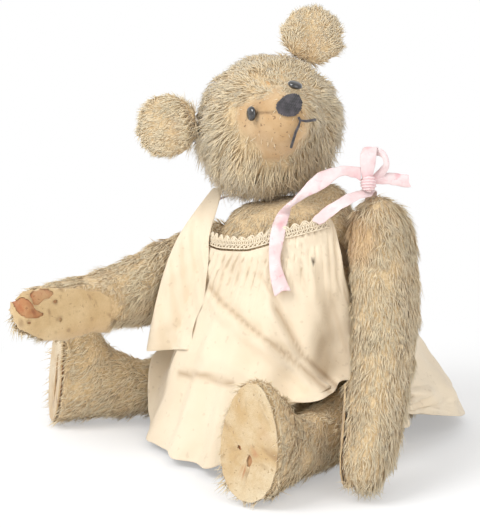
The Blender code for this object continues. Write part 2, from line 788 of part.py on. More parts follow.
def sheet_solid(name, grid, thickness, kind, closed):
    """A sheet of cloth given by a grid of points, with its thickness inside them."""
    rows, columns = len(grid), len(grid[0])
    work = bmesh.new()
    verts = [work.verts.new(p) for row in grid for p in row]
    for a, b, c, d in grid_faces(rows, columns, closed):
        work.faces.new((verts[a], verts[b], verts[c], verts[d]))
    bmesh.ops.recalc_face_normals(work, faces=work.faces)
    work.normal_update()
    outer = [v.co.copy() for v in work.verts]
    normals = [v.normal.copy() for v in work.verts]
    work.free()
    middle = sum(outer, Vector()) / len(outer)
    outward = sum(n.dot(p - middle) for n, p in zip(normals, outer))
    sign = 1 if outward > 0 else -1
    inner = [p - n * (sign * thickness) for p, n in zip(outer, normals)]
    count = len(outer)
    faces = grid_faces(rows, columns, closed) + grid_faces(rows, columns, closed, count)
    edges = rim_edges(rows, columns, closed)
    faces += [(a, b, count + b, count + a) for a, b in edges]
    return solid(name, outer + inner, faces, kind)


def rim_edges(rows, columns, closed):
    """Pairs of neighbouring points along the open edges of a grid."""
    spans = columns if closed else columns - 1
    last = (rows - 1) * columns
    edges = [(j, (j + 1) % columns) for j in range(spans)]
    edges += [(last + j, last + (j + 1) % columns) for j in range(spans)]
    if not closed:
        edges += [(i * columns, (i + 1) * columns) for i in range(rows - 1)]
        edges += [((i + 1) * columns - 1, (i + 2) * columns - 1) for i in range(rows - 1)]
    return edges


def make_lace(name, torso, low, high, tilt):
    """A scalloped lace edging that stands on the dress's top edge between two headings."""
    tree = surface_of(torso)
    count = int((high - low) / radians(3.4))
    grid = [[], [], []]
    for j in range(count + 1):
        angle = low + (high - low) * j / count
        top = around(DRESS_TOP, angle) + LACE_GAP
        scallop = 1.0 if j % 2 else 0.80
        for row, share in ((0, 1.0), (1, 0.5), (2, 0.0)):
            level = top + LACE_HEIGHT * share * (scallop if row == 0 else 1)
            reach = torso_reach(level, angle) + CLOTH_LIFT + NECK_EASE + tilt * share
            point = lean(heading(angle) * reach + Vector((0, 0, level)))
            grid[row].append(push_out(point, [tree], CLOTH_LIFT))
    return sheet_solid(name, grid, LACE_THICKNESS, "lace", False)


def ribbon(name, path, across, trees=(), width=RIBBON_WIDTH, lift=0.0016, sheets=()):
    """A flat ribbon along a path; across gives its width's direction at each point."""
    middle = [push_out(Vector(p), trees, lift + width * 0.10) for p in path]
    grid = []
    for side in (-0.5, -0.17, 0.17, 0.5):
        row = []
        for point, direction in zip(middle, across):
            edge = point + Vector(direction).normalized() * (width * side)
            edge = push_out(edge, trees, lift)
            for sheet in sheets:
                edge = stand_off(edge, sheet, lift)
            row.append(edge)
        grid.append(row)
    return sheet_solid(name, grid, RIBBON_THICKNESS, "ribbon", False)


def smooth_path(points, steps):
    """A smooth curve through points, by a cubic through each four neighbours."""
    points = [Vector(p) for p in points]
    ends = [points[0] * 2 - points[1]] + points + [points[-1] * 2 - points[-2]]
    path = []
    for i in range(1, len(ends) - 2):
        a, b, c, d = ends[i - 1:i + 3]
        for k in range(steps):
            t = k / steps
            path.append(0.5 * ((b * 2) + (c - a) * t + (a * 2 - b * 5 + c * 4 - d) * t * t
                               + (b * 3 - a - c * 3 + d) * t ** 3))
    return path + [points[-1]]


PANEL_INNER = ((-0.078, -0.014, 0.2025), (-0.060, -0.052, 0.171), (-0.058, -0.058, 0.135),
               (-0.072, -0.072, 0.108), (-0.082, -0.082, 0.076))
PANEL_OUTER = ((-0.089, -0.014, 0.2015), (-0.091, -0.056, 0.168), (-0.095, -0.075, 0.131),
               (-0.098, -0.086, 0.0915), (-0.099, -0.090, 0.074))
PANEL_WAVE = 0.0030
PANEL_LIFT = 0.0042
KNOT = Vector((0.0605, 0.001, 0.2224))
LEFT_RIBBON = ((0.036, -0.036, 0.193), (0.048, -0.034, 0.204), (0.0570, -0.018, 0.2135), (0.0590, 0.001, 0.2150),
               (0.050, 0.020, 0.2145), (0.038, 0.036, 0.205), (0.026, 0.046, 0.188))
RIGHT_RIBBON = ((-0.0795, -0.025, 0.1906), (-0.082, -0.018, 0.1918), (-0.0845, -0.009, 0.1925), (-0.085, 0.0, 0.192),
                (-0.081, 0.022, 0.191), (-0.0725, 0.0355, 0.1865), (-0.0622, 0.0450, 0.1770))
LONG_TAIL = ((0.048, -0.022, 0.2325), (0.0385, -0.041, 0.227), (0.035, -0.051, 0.214),
             (0.0305, -0.060, 0.2005), (0.025, -0.064, 0.191), (0.020, -0.068, 0.181),
             (0.0165, -0.067, 0.168), (0.0165, -0.066, 0.150), (0.0185, -0.065, 0.136))


def make_bow(dress, lace, torso, arm, head):
    """The ribbon bow on the left shoulder: knot, two loops and two tails."""
    trees = [surface_of(dress), surface_of(torso), surface_of(arm)]
    knot_rings = []
    for height, radius in ((-0.006, 0.0035), (-0.003, 0.0062), (0.003, 0.0062), (0.006, 0.0035)):
        knot_rings.append([KNOT + Vector((radius * 1.1 * cos(t), radius * sin(t), height))
                           for t in (2 * pi * j / 10 for j in range(10))])
    loft("bow_knot", knot_rings, KNOT - Vector((0, 0, 0.007)), KNOT + Vector((0, 0, 0.007)), "ribbon")
    side = Vector((0.766, 0.643, 0))
    near = Vector((0.64, -0.77, 0))
    loops = {
        "bow_upright_loop": [(-0.0008, 0.0072), (-0.006, 0.019), (-0.004, 0.034), (0.004, 0.0395),
                             (0.0095, 0.030), (0.0072, 0.018), (0.0034, 0.0076)],
        "bow_side_loop": [(0.0069, 0.0046), (0.0125, 0.022), (0.0200, 0.0270), (0.0245, 0.019),
                          (0.018, 0.008), (0.0075, 0.0010)],
    }
    for name, points in loops.items():
        path = smooth_path([KNOT + side * x + Vector((0, 0, z)) for x, z in points], 3)
        ribbon(name, path, [near] * len(path), (), RIBBON_WIDTH * 0.8)
    short = [KNOT + side * x + Vector((0, 0, z)) - near * y for x, z, y in
             ((0.0040, 0.001, 0.0066), (0.014, 0.003, 0.0120), (0.026, 0.006, 0.013), (0.036, 0.009, 0.012),
              (0.043, 0.009, 0.011))]
    path = smooth_path(short, 2)
    ribbon("bow_short_tail", path, [Vector((0.25, -0.2, 1))] * len(path), trees[1:], RIBBON_WIDTH)
    path = smooth_path([KNOT + Vector((-0.0070, -0.0030, 0.002))] + [Vector(p) for p in LONG_TAIL], 3)
    count = len(path)
    across = [Vector((0.35, -0.45, 0.8)).lerp(Vector((0.9, 0.35, 0.0)), min(i / (count * 0.6), 1))
              for i in range(count)]
    trees = [surface_of(head)] + trees
    ribbon("bow_long_tail", path, across, trees, lift=0.0020, sheets=[surface_of(lace)])


def make_shoulder_ribbon(name, stops, below, lift):
    """The ribbon over a shoulder, from the front neckline to the back one."""
    trees = [surface_of(made) for made in below]
    path = smooth_path(stops, 2)
    out = Vector((stops[3][0] - stops[0][0], 0, 0)).normalized()
    across = [out + Vector((0, 0, -0.35))] * len(path)
    return ribbon(name, path, across, trees, RIBBON_WIDTH * 0.8, lift)


def make_panel(below, sheets):
    """The loose right side of the dress front, which hangs from the shoulder beside the arm."""
    trees = [surface_of(made) for made in below]
    inner, outer = smooth_path(PANEL_INNER, 3), smooth_path(PANEL_OUTER, 3)
    rows, columns = len(inner), 9
    grid = []
    for i in range(rows):
        row = []
        for j in range(columns):
            along = j / (columns - 1)
            point = inner[i].lerp(outer[i], along)
            point.y -= PANEL_WAVE * sin(9 * along + 1.5 * i / rows) * min(i / 4, 1)
            row.append(point)
        grid.append(row)
    grid = settle(grid, trees, 3, False, 0.15)
    for sheet in sheets:
        tree = surface_of(sheet)
        grid = [[stand_off(point, tree, PANEL_LIFT) for point in row] for row in grid]
    return sheet_solid("right_shoulder_panel", grid, CLOTH, "cotton", False)


def main():
    clear_scene()
    frame = head_frame()
    neck = neck_pin(frame)
    torso = make_torso()
    stub = make_neck_stub(neck)
    room = make_head_room(frame)
    cut(torso, room)
    head = make_head(frame)
    head_cutter = grown_copy(head, "head_cutter", CLEARANCE)
    make_ear("right_ear", frame, -1, head_cutter)
    make_ear("left_ear", frame, 1, head_cutter)
    make_face(frame, head)

    left_pin = shoulder(1, LEFT_SHOULDER_HEIGHT, *LEFT_SHOULDER)
    right_pin = shoulder(-1, RIGHT_SHOULDER_HEIGHT, *RIGHT_SHOULDER)
    left_hip = hip(torso, *LEFT_HIP, 1)
    right_hip = hip(torso, *RIGHT_HIP, -1)
    limbs = {
        "left_arm": make_arm("left_arm", left_pin),
        "right_arm": make_arm("right_arm", right_pin),
        "left_leg": make_leg("left_leg", left_hip),
        "right_leg": make_leg("right_leg", right_hip),
    }
    make_paw_pad("right_paw_pad", limbs["right_arm"], right_pin, [
        ragged(0.186, 0.006, 0.020, 0.010, 0.4, 3),
        ragged(0.172, -0.010, 0.020, 0.007, -0.2, 5),
        ragged(0.150, 0.008, 0.006, 0.0025, 0.6, 8, 6),
    ])
    make_paw_pad("left_paw_pad", limbs["left_arm"], left_pin, [
        ragged(0.184, 0.004, 0.018, 0.009, 0.4, 11),
    ])
    make_sole("left_foot_pad", limbs["left_leg"], left_hip, [
        ragged(0.001, -0.014, 0.0052, 0.0100, 0.1, 21, 8),
        ragged(-0.009, -0.005, 0.0035, 0.0048, 0.6, 22, 6),
    ])
    make_sole("right_foot_pad", limbs["right_leg"], right_hip, [
        ragged(0.008, -0.006, 0.010, 0.040, 0.0, 31, 11),
    ])

    dress, _ = make_dress(torso, limbs)
    lace = make_lace("neckline_lace", torso, radians(-44), radians(44), 0.001)
    make_lace("back_lace", torso, radians(152), radians(208), 0.001)
    make_bow(dress, lace, torso, limbs["left_arm"], head)
    make_shoulder_ribbon("left_shoulder_ribbon", LEFT_RIBBON, (torso, stub, head, limbs["left_arm"]), 0.0016)
    make_shoulder_ribbon("right_shoulder_ribbon", RIGHT_RIBBON, (torso, stub, limbs["right_arm"]), 0.0009)
    ribbon_below = bpy.data.objects["right_shoulder_ribbon"]
    make_panel((head, torso, limbs["right_arm"]), (ribbon_below, lace, dress))

    disc_joint("left_shoulder", left_pin[0], left_pin[1], ARM_DISC, torso, limbs["left_arm"])
    disc_joint("right_shoulder", right_pin[0], right_pin[1], ARM_DISC, torso, limbs["right_arm"])
    disc_joint("left_hip", left_hip[0], left_hip[1], LEG_DISC, torso, limbs["left_leg"])
    disc_joint("right_hip", right_hip[0], right_hip[1], LEG_DISC, torso, limbs["right_leg"])
    unite(torso, stub)
    disc_joint("neck", neck[0], neck[1], NECK_DISC, torso, head)


main()
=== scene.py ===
import math
import bpy
import numpy as np
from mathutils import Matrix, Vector
from mathutils.bvhtree import BVHTree


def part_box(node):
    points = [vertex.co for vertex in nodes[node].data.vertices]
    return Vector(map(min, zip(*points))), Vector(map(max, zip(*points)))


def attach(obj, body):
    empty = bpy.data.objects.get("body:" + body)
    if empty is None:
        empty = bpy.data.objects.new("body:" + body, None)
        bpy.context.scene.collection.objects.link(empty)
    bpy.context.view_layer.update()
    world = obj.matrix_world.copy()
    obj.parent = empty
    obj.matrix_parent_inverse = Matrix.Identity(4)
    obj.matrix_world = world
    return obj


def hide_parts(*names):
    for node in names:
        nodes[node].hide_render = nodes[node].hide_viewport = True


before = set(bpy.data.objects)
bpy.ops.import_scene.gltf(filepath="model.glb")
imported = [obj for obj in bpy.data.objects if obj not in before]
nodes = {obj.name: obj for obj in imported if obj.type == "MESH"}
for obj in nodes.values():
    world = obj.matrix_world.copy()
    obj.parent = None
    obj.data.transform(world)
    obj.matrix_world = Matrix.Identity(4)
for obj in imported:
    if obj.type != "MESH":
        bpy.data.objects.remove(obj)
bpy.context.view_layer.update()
print("frame loaded,", len(nodes), "nodes")


# camera: where the photograph was taken from, in the part's own frame

view = {"azimuth": 40, "elevation": 14, "distance": 2.0, "scale": 1205, "origin": (306, 436),
        "imageWidth": 480, "imageHeight": 528, "sensor": 36}

azimuth, elevation = math.radians(view["azimuth"]), math.radians(view["elevation"])
across = Vector((math.cos(azimuth), math.sin(azimuth), 0))
forward = Vector((-math.sin(azimuth), math.cos(azimuth), 0))
gaze = forward * math.cos(elevation) - Vector((0, 0, math.sin(elevation)))
upward = forward * math.sin(elevation) + Vector((0, 0, math.cos(elevation)))
middleX, middleY = view["imageWidth"] / 2, view["imageHeight"] / 2
target = (across * ((middleX - view["origin"][0]) / view["scale"])
          + upward * ((view["origin"][1] - middleY) / view["scale"]))
eyePoint = target - gaze * view["distance"]


def addCamera():
    bpy.ops.object.camera_add(location=eyePoint)
    camera = bpy.context.object
    camera.name = "photoCamera"
    camera.rotation_mode = "QUATERNION"
    camera.rotation_quaternion = gaze.to_track_quat("-Z", "Y")
    camera.data.sensor_width = view["sensor"]
    camera.data.lens = view["distance"] * view["scale"] / view["imageHeight"] * view["sensor"]
    camera.data.clip_end = 20
    bpy.context.scene.camera = camera


def inPicture(points):
    # where points fall in the image, in pixels from its top left corner, and how far they lie from the camera
    points = np.asarray(points, float).reshape(-1, 3)
    local = points - np.array(eyePoint)
    depth = local @ np.array(gaze)
    focal = view["distance"] * view["scale"] / depth
    x = middleX + (local @ np.array(across)) * focal
    y = middleY - (local @ np.array(upward)) * focal
    return x, y, depth


def onPicture(x, y, depth):
    # the point seen at a picture point, at a distance from the camera along its gaze
    focal = view["distance"] * view["scale"] / depth
    return eyePoint + gaze * depth + across * ((x - middleX) / focal) + upward * ((middleY - y) / focal)


addCamera()


# small tools

def deselect():
    if bpy.context.object and bpy.context.object.mode == "EDIT":
        bpy.ops.object.mode_set(mode="OBJECT")
    bpy.ops.object.select_all(action="DESELECT")


def pick(piece):
    deselect()
    piece.select_set(True)
    bpy.context.view_layer.objects.active = piece


def useModifier(piece, kind, **settings):
    pick(piece)
    modifier = piece.modifiers.new(kind.lower(), kind)
    for name, value in settings.items():
        setattr(modifier, name, value)
    bpy.ops.object.modifier_apply(modifier=modifier.name)


def copyNode(nodeName, pieceName):
    # a node's shape as a piece of its own, its loose triangles welded
    source = nodes[nodeName]
    piece = bpy.data.objects.new(pieceName, source.data.copy())
    bpy.context.collection.objects.link(piece)
    piece.data.materials.clear()
    pick(piece)
    bpy.ops.object.mode_set(mode="EDIT")
    bpy.ops.mesh.select_all(action="SELECT")
    bpy.ops.mesh.remove_doubles(threshold=0.000002)
    bpy.ops.object.mode_set(mode="OBJECT")
    return piece


def newPiece(pieceName, points, faces):
    mesh = bpy.data.meshes.new(pieceName)
    mesh.from_pydata(points, [], faces)
    piece = bpy.data.objects.new(pieceName, mesh)
    bpy.context.collection.objects.link(piece)
    return piece


def faceOutward(piece):
    pick(piece)
    bpy.ops.object.mode_set(mode="EDIT")
    bpy.ops.mesh.select_all(action="SELECT")
    bpy.ops.mesh.normals_make_consistent(inside=False)
    bpy.ops.object.mode_set(mode="OBJECT")


def smoothShade(piece):
    pick(piece)
    bpy.ops.object.shade_smooth()


def giveMaterial(nodeName, material):
    nodes[nodeName].data.materials.clear()
    nodes[nodeName].data.materials.append(material)


def placesOf(piece):
    co = np.empty(len(piece.data.vertices) * 3)
    piece.data.vertices.foreach_get("co", co)
    return co.reshape(-1, 3)


def normalsOf(piece):
    out = np.empty(len(piece.data.vertices) * 3)
    piece.data.vertices.foreach_get("normal", out)
    return out.reshape(-1, 3)


def moveTo(piece, co):
    piece.data.vertices.foreach_set("co", np.ascontiguousarray(co, np.float32).ravel())
    piece.data.update()


def treeOf(pieces):
    # a search tree over the surfaces of pieces or nodes
    points, faces = [], []
    for piece in pieces:
        start = len(points)
        points += [v.co.copy() for v in piece.data.vertices]
        faces += [[start + i for i in p.vertices] for p in piece.data.polygons]
    return BVHTree.FromPolygons(points, faces)


def ripple(points, size, seed, layers=5):
    # a smooth random value near -1..1 at each point, from waves in random directions
    maker = np.random.default_rng(seed)
    total = np.zeros(len(points))
    for _ in range(layers):
        direction = maker.normal(size=3)
        direction /= np.linalg.norm(direction)
        total += np.sin(points @ direction * (2 * math.pi / (size * maker.uniform(0.7, 1.4)))
                        + maker.uniform(0, 6.3) + 1.7 * np.sin(points @ maker.normal(size=3) / size * 2))
    return total / math.sqrt(layers)


def paint(piece, name, values):
    # a value at each vertex that a material can read
    layer = piece.data.attributes.get(name) or piece.data.attributes.new(name, "FLOAT", "POINT")
    layer.data.foreach_set("value", np.ascontiguousarray(values, np.float32))


def stepBetween(value, low, high):
    t = np.clip((value - low) / (high - low), 0, 1)
    return t * t * (3 - 2 * t)


def insideOutline(x, y, corners):
    inside = np.zeros(len(x), bool)
    for (ax, ay), (bx, by) in zip(corners, np.roll(corners, -1, axis=0)):
        with np.errstate(divide="ignore", invalid="ignore"):
            inside ^= ((ay > y) != (by > y)) & (x < (bx - ax) * (y - ay) / (by - ay) + ax)
    return inside


def outlineDistance(x, y, corners):
    near = np.full(len(x), 1e9)
    for (ax, ay), (bx, by) in zip(corners, np.roll(corners, -1, axis=0)):
        near = np.minimum(near, strokeDistance(x, y, ax, ay, bx, by))
    return near


def insidePicture(points, outline, softness):
    # 1 where points fall inside an outline drawn on the image, 0 outside, soft at the edge
    x, y, _ = inPicture(points)
    corners = np.array(outline, float)
    near = outlineDistance(x, y, corners)
    return stepBetween(np.where(insideOutline(x, y, corners), near, -near), -softness, softness)


def strokeDistance(x, y, ax, ay, bx, by):
    dx, dy = bx - ax, by - ay
    t = np.clip(((x - ax) * dx + (y - ay) * dy) / (dx * dx + dy * dy + 1e-9), 0, 1)
    return np.hypot(x - ax - t * dx, y - ay - t * dy)


def alongStroke(points, stroke, width):
    # 1 on a line drawn on the image, falling to 0 at its width
    x, y, _ = inPicture(points)
    near = np.full(len(x), 1e9)
    for (ax, ay), (bx, by) in zip(stroke[:-1], stroke[1:]):
        near = np.minimum(near, strokeDistance(x, y, ax, ay, bx, by))
    return np.exp(-(near / width) ** 2)


def facing(piece):
    # vertices that the photograph's side shows
    points = placesOf(piece)
    away = points - np.array(eyePoint)
    away /= np.linalg.norm(away, axis=1)[:, None]
    return stepBetween(-(normalsOf(piece) * away).sum(1), 0.0, 0.25)


# materials

def nodeMaterial(name, **settings):
    material = bpy.data.materials.new(name)
    material.use_nodes = True
    shader = material.node_tree.nodes["Principled BSDF"]
    for socket, value in settings.items():
        shader.inputs[socket.replace("_", " ")].default_value = value
    return material, material.node_tree, shader


def makeGroup(name, inputs, outputs):
    tree = bpy.data.node_groups.new(name, "ShaderNodeTree")
    for label, kind, value in inputs:
        socket = tree.interface.new_socket(label, in_out="INPUT", socket_type=kind)
        if value is not None:
            socket.default_value = value
    for label, kind in outputs:
        tree.interface.new_socket(label, in_out="OUTPUT", socket_type=kind)
    return tree, tree.nodes.new("NodeGroupInput"), tree.nodes.new("NodeGroupOutput")


def put(tree, kind, **values):
    node = tree.nodes.new(kind)
    for name, value in values.items():
        if hasattr(node, name):
            setattr(node, name, value)
        else:
            node.inputs[name.replace("_", " ")].default_value = value
    return node


def mixColours(tree, factor, first, second, blend="MIX"):
    node = tree.nodes.new("ShaderNodeMix")
    node.data_type = "RGBA"
    node.blend_type = blend
    for socket, value in ((node.inputs[0], factor), (node.inputs[6], first), (node.inputs[7], second)):
        if isinstance(value, bpy.types.NodeSocket):
            tree.links.new(value, socket)
        else:
            socket.default_value = value if isinstance(value, float) else (*value[:3], 1)
    return node.outputs[2]


def maths(tree, operation, first, second=0.0, third=None):
    node = tree.nodes.new("ShaderNodeMath")
    node.operation = operation
    for socket, value in zip(node.inputs, (first, second, third)):
        if isinstance(value, bpy.types.NodeSocket):
            tree.links.new(value, socket)
        elif value is not None:
            socket.default_value = value
    return node.outputs[0]


def ranged(tree, value, low, high, newLow=0.0, newHigh=1.0):
    node = tree.nodes.new("ShaderNodeMapRange")
    for socket, number in zip(node.inputs[1:5], (low, high, newLow, newHigh)):
        socket.default_value = number
    tree.links.new(value, node.inputs[0])
    return node.outputs[0]


def makeWeaveGroup():
    # crossing threads: a height and a mask, from a coordinate and the number of threads to the metre
    tree, source, result = makeGroup("threadWeave",
                                     [("Place", "NodeSocketVector", None), ("Threads", "NodeSocketFloat", 900.0)],
                                     [("Height", "NodeSocketFloat"), ("Gap", "NodeSocketFloat")])
    waves = []
    for direction in ("X", "Z"):
        wave = put(tree, "ShaderNodeTexWave", wave_type="BANDS", bands_direction=direction, Distortion=1.2)
        wave.inputs["Detail"].default_value = 1.0
        tree.links.new(source.outputs["Place"], wave.inputs["Vector"])
        tree.links.new(source.outputs["Threads"], wave.inputs["Scale"])
        waves.append(wave.outputs["Fac"])
    height = maths(tree, "MAXIMUM", *waves)
    tree.links.new(height, result.inputs["Height"])
    tree.links.new(ranged(tree, height, 0.1, 0.45, 1.0, 0.0), result.inputs["Gap"])
    return tree


def makeStainGroup():
    # age: broad uneven yellowing and small specks
    tree, source, result = makeGroup("ageStains",
                                     [("Place", "NodeSocketVector", None), ("Spread", "NodeSocketFloat", 18.0),
                                      ("Specks", "NodeSocketFloat", 260.0)],
                                     [("Broad", "NodeSocketFloat"), ("Speck", "NodeSocketFloat")])
    broad = put(tree, "ShaderNodeTexNoise", Detail=4.0, Roughness=0.6)
    tree.links.new(source.outputs["Place"], broad.inputs["Vector"])
    tree.links.new(source.outputs["Spread"], broad.inputs["Scale"])
    fine = put(tree, "ShaderNodeTexNoise", Detail=1.0, Roughness=0.5)
    tree.links.new(source.outputs["Place"], fine.inputs["Vector"])
    tree.links.new(source.outputs["Specks"], fine.inputs["Scale"])
    tree.links.new(ranged(tree, broad.outputs["Fac"], 0.38, 0.68), result.inputs["Broad"])
    tree.links.new(ranged(tree, fine.outputs["Fac"], 0.66, 0.74), result.inputs["Speck"])
    return tree


def placeGroup(tree, group, **values):
    node = tree.nodes.new("ShaderNodeGroup")
    node.node_tree = group
    for name, value in values.items():
        if isinstance(value, bpy.types.NodeSocket):
            tree.links.new(value, node.inputs[name])
        else:
            node.inputs[name].default_value = value
    return node


def objectPlace(tree):
    return put(tree, "ShaderNodeTexCoord").outputs["Object"]


def attribute(tree, name):
    node = put(tree, "ShaderNodeAttribute")
    node.attribute_name = name
    return node.outputs["Fac"]


def addBump(tree, shader, height, strength, distance):
    node = put(tree, "ShaderNodeBump", Strength=strength, Distance=distance)
    tree.links.new(height, node.inputs["Height"])
    tree.links.new(node.outputs["Normal"], shader.inputs["Normal"])


weaveGroup, stainGroup = makeWeaveGroup(), makeStainGroup()
print("materials' shared groups made")


# mohair: the backing cloth under the pile, and the pile itself

# root: painted shade deep in the pile, on the strands' roots and on the skin between them
mohair = {"root": (0.50, 0.345, 0.180), "mid": (0.79, 0.615, 0.375), "tip": (0.92, 0.815, 0.610),
          "grey": (0.73, 0.635, 0.445), "rust": (0.68, 0.38, 0.15),
          "stray": 0.35, "scatter": 0.22,
          "backing": (0.42, 0.29, 0.15), "bare": (0.56, 0.35, 0.17), "bareLight": (0.66, 0.47, 0.27)}


def makePileMaterial():
    material, tree, shader = nodeMaterial("mohairPile", Roughness=0.72, Sheen_Weight=0.25, Sheen_Roughness=0.5)
    shader.inputs["Specular IOR Level"].default_value = 0.25
    along, tone, rusty = attribute(tree, "along"), attribute(tree, "tone"), attribute(tree, "rusty")
    # darker towards the root: painted shade deep in the pile
    colour = mixColours(tree, ranged(tree, along, 0.0, 0.45), mohair["root"], mohair["mid"])
    colour = mixColours(tree, ranged(tree, along, 0.35, 1.0), colour, mohair["tip"])
    colour = mixColours(tree, ranged(tree, tone, 0.0, 1.0, 0.0, 0.55), colour, mohair["grey"])
    colour = mixColours(tree, maths(tree, "MULTIPLY", rusty, 0.6), colour, mohair["rust"])
    tree.links.new(colour, shader.inputs["Base Color"])
    return material


def makeBackingMaterial():
    material, tree, shader = nodeMaterial("mohairBacking", Roughness=0.9, Sheen_Weight=0.2)
    shader.inputs["Specular IOR Level"].default_value = 0.15
    place = objectPlace(tree)
    weave = placeGroup(tree, weaveGroup, Place=place, Threads=420.0)
    stains = placeGroup(tree, stainGroup, Place=place, Spread=45.0, Specks=340.0)
    tufts = put(tree, "ShaderNodeTexNoise", Scale=420.0, Detail=3.0, Roughness=0.65)
    tree.links.new(place, tufts.inputs["Vector"])
    furry = mixColours(tree, ranged(tree, tufts.outputs["Fac"], 0.3, 0.7), mohair["root"], mohair["mid"])
    bare = mixColours(tree, stains.outputs["Broad"], mohair["bare"], mohair["bareLight"])
    bare = mixColours(tree, maths(tree, "MULTIPLY", weave.outputs["Gap"], 0.35), bare, mohair["backing"])
    bare = mixColours(tree, maths(tree, "MULTIPLY", stains.outputs["Speck"], 0.75), bare, (0.16, 0.075, 0.03))
    colour = mixColours(tree, attribute(tree, "bare"), furry, bare)
    colour = mixColours(tree, maths(tree, "MULTIPLY", attribute(tree, "rusty"), 0.85), colour, mohair["rust"])
    colour = mixColours(tree, attribute(tree, "seam"), colour, (0.14, 0.085, 0.04))
    tree.links.new(colour, shader.inputs["Base Color"])
    rough = maths(tree, "ADD", maths(tree, "MULTIPLY", tufts.outputs["Fac"], 0.8), weave.outputs["Height"])
    addBump(tree, shader, rough, 0.5, 0.0006)
    return material


pileMaterial, backingMaterial = makePileMaterial(), makeBackingMaterial()

stuffing = {"voxel": 0.0038, "inset": 0.0034, "bareInset": 0.0004, "lumpSize": 0.034, "lumpHeight": 0.0007,
            "torsoVoxel": 1.35, "pressure": 2.0, "cap": 0.0015, "frames": 8}


def swell(piece):
    # the stuffing pushes the cloth skin out, as far as the cap lets it
    before = placesOf(piece)
    pick(piece)
    cloth = piece.modifiers.new("stuffed", "CLOTH")
    cloth.settings.quality = 3
    cloth.settings.mass = 0.3
    cloth.settings.tension_stiffness = 25
    cloth.settings.compression_stiffness = 25
    cloth.settings.use_pressure = True
    cloth.settings.uniform_pressure_force = stuffing["pressure"]
    cloth.settings.effector_weights.gravity = 0
    cloth.collision_settings.use_collision = False
    scene = bpy.context.scene
    for step in range(1, stuffing["frames"] + 1):
        scene.frame_set(step)
    bpy.ops.object.modifier_apply(modifier=cloth.name)
    scene.frame_set(1)
    moved = placesOf(piece) - before
    reach = np.linalg.norm(moved, axis=1)[:, None]
    moveTo(piece, before + moved * np.minimum(1, stuffing["cap"] / np.maximum(reach, 1e-9)))


def makeSkin(nodeName, pieceName, body, padNames, bareAt, depth=1.0):
    # the sewn skin of a stuffed part, set in by the depth of its pile where it has any
    piece = copyNode(nodeName, pieceName)
    useModifier(piece, "REMESH", mode="VOXEL", use_smooth_shade=True,
                voxel_size=stuffing["voxel"] * (stuffing["torsoVoxel"] if nodeName == "torso" else 1))
    useModifier(piece, "SMOOTH", factor=0.5, iterations=3)
    swell(piece)
    useModifier(piece, "SUBSURF", levels=1, render_levels=1)
    places = placesOf(piece)
    inset = np.full(len(places), stuffing["inset"] * depth)
    if padNames:
        pads = treeOf([nodes[name] for name in padNames])
        nearPad = np.array([pads.find_nearest(Vector(p))[3] for p in places])
        inset *= stepBetween(nearPad, 0.002, 0.009)
    bare = np.clip(bareAt(piece, places), 0, 1)
    inset = inset * (1 - bare) + stuffing["bareInset"] * bare
    lumps = stuffing["lumpHeight"] * ripple(places, stuffing["lumpSize"], len(nodeName))
    inset -= lumps * (0.4 + 0.6 * (inset > 0.002))
    moveTo(piece, places - normalsOf(piece) * inset[:, None])
    paint(piece, "bare", bare)
    paint(piece, "rusty", np.zeros(len(places)))
    paint(piece, "seam", np.zeros(len(places)))
    piece.data.materials.clear()
    piece.data.materials.append(backingMaterial)
    for polygon in piece.data.polygons:
        polygon.use_smooth = True
    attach(piece, body)
    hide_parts(nodeName)
    return piece


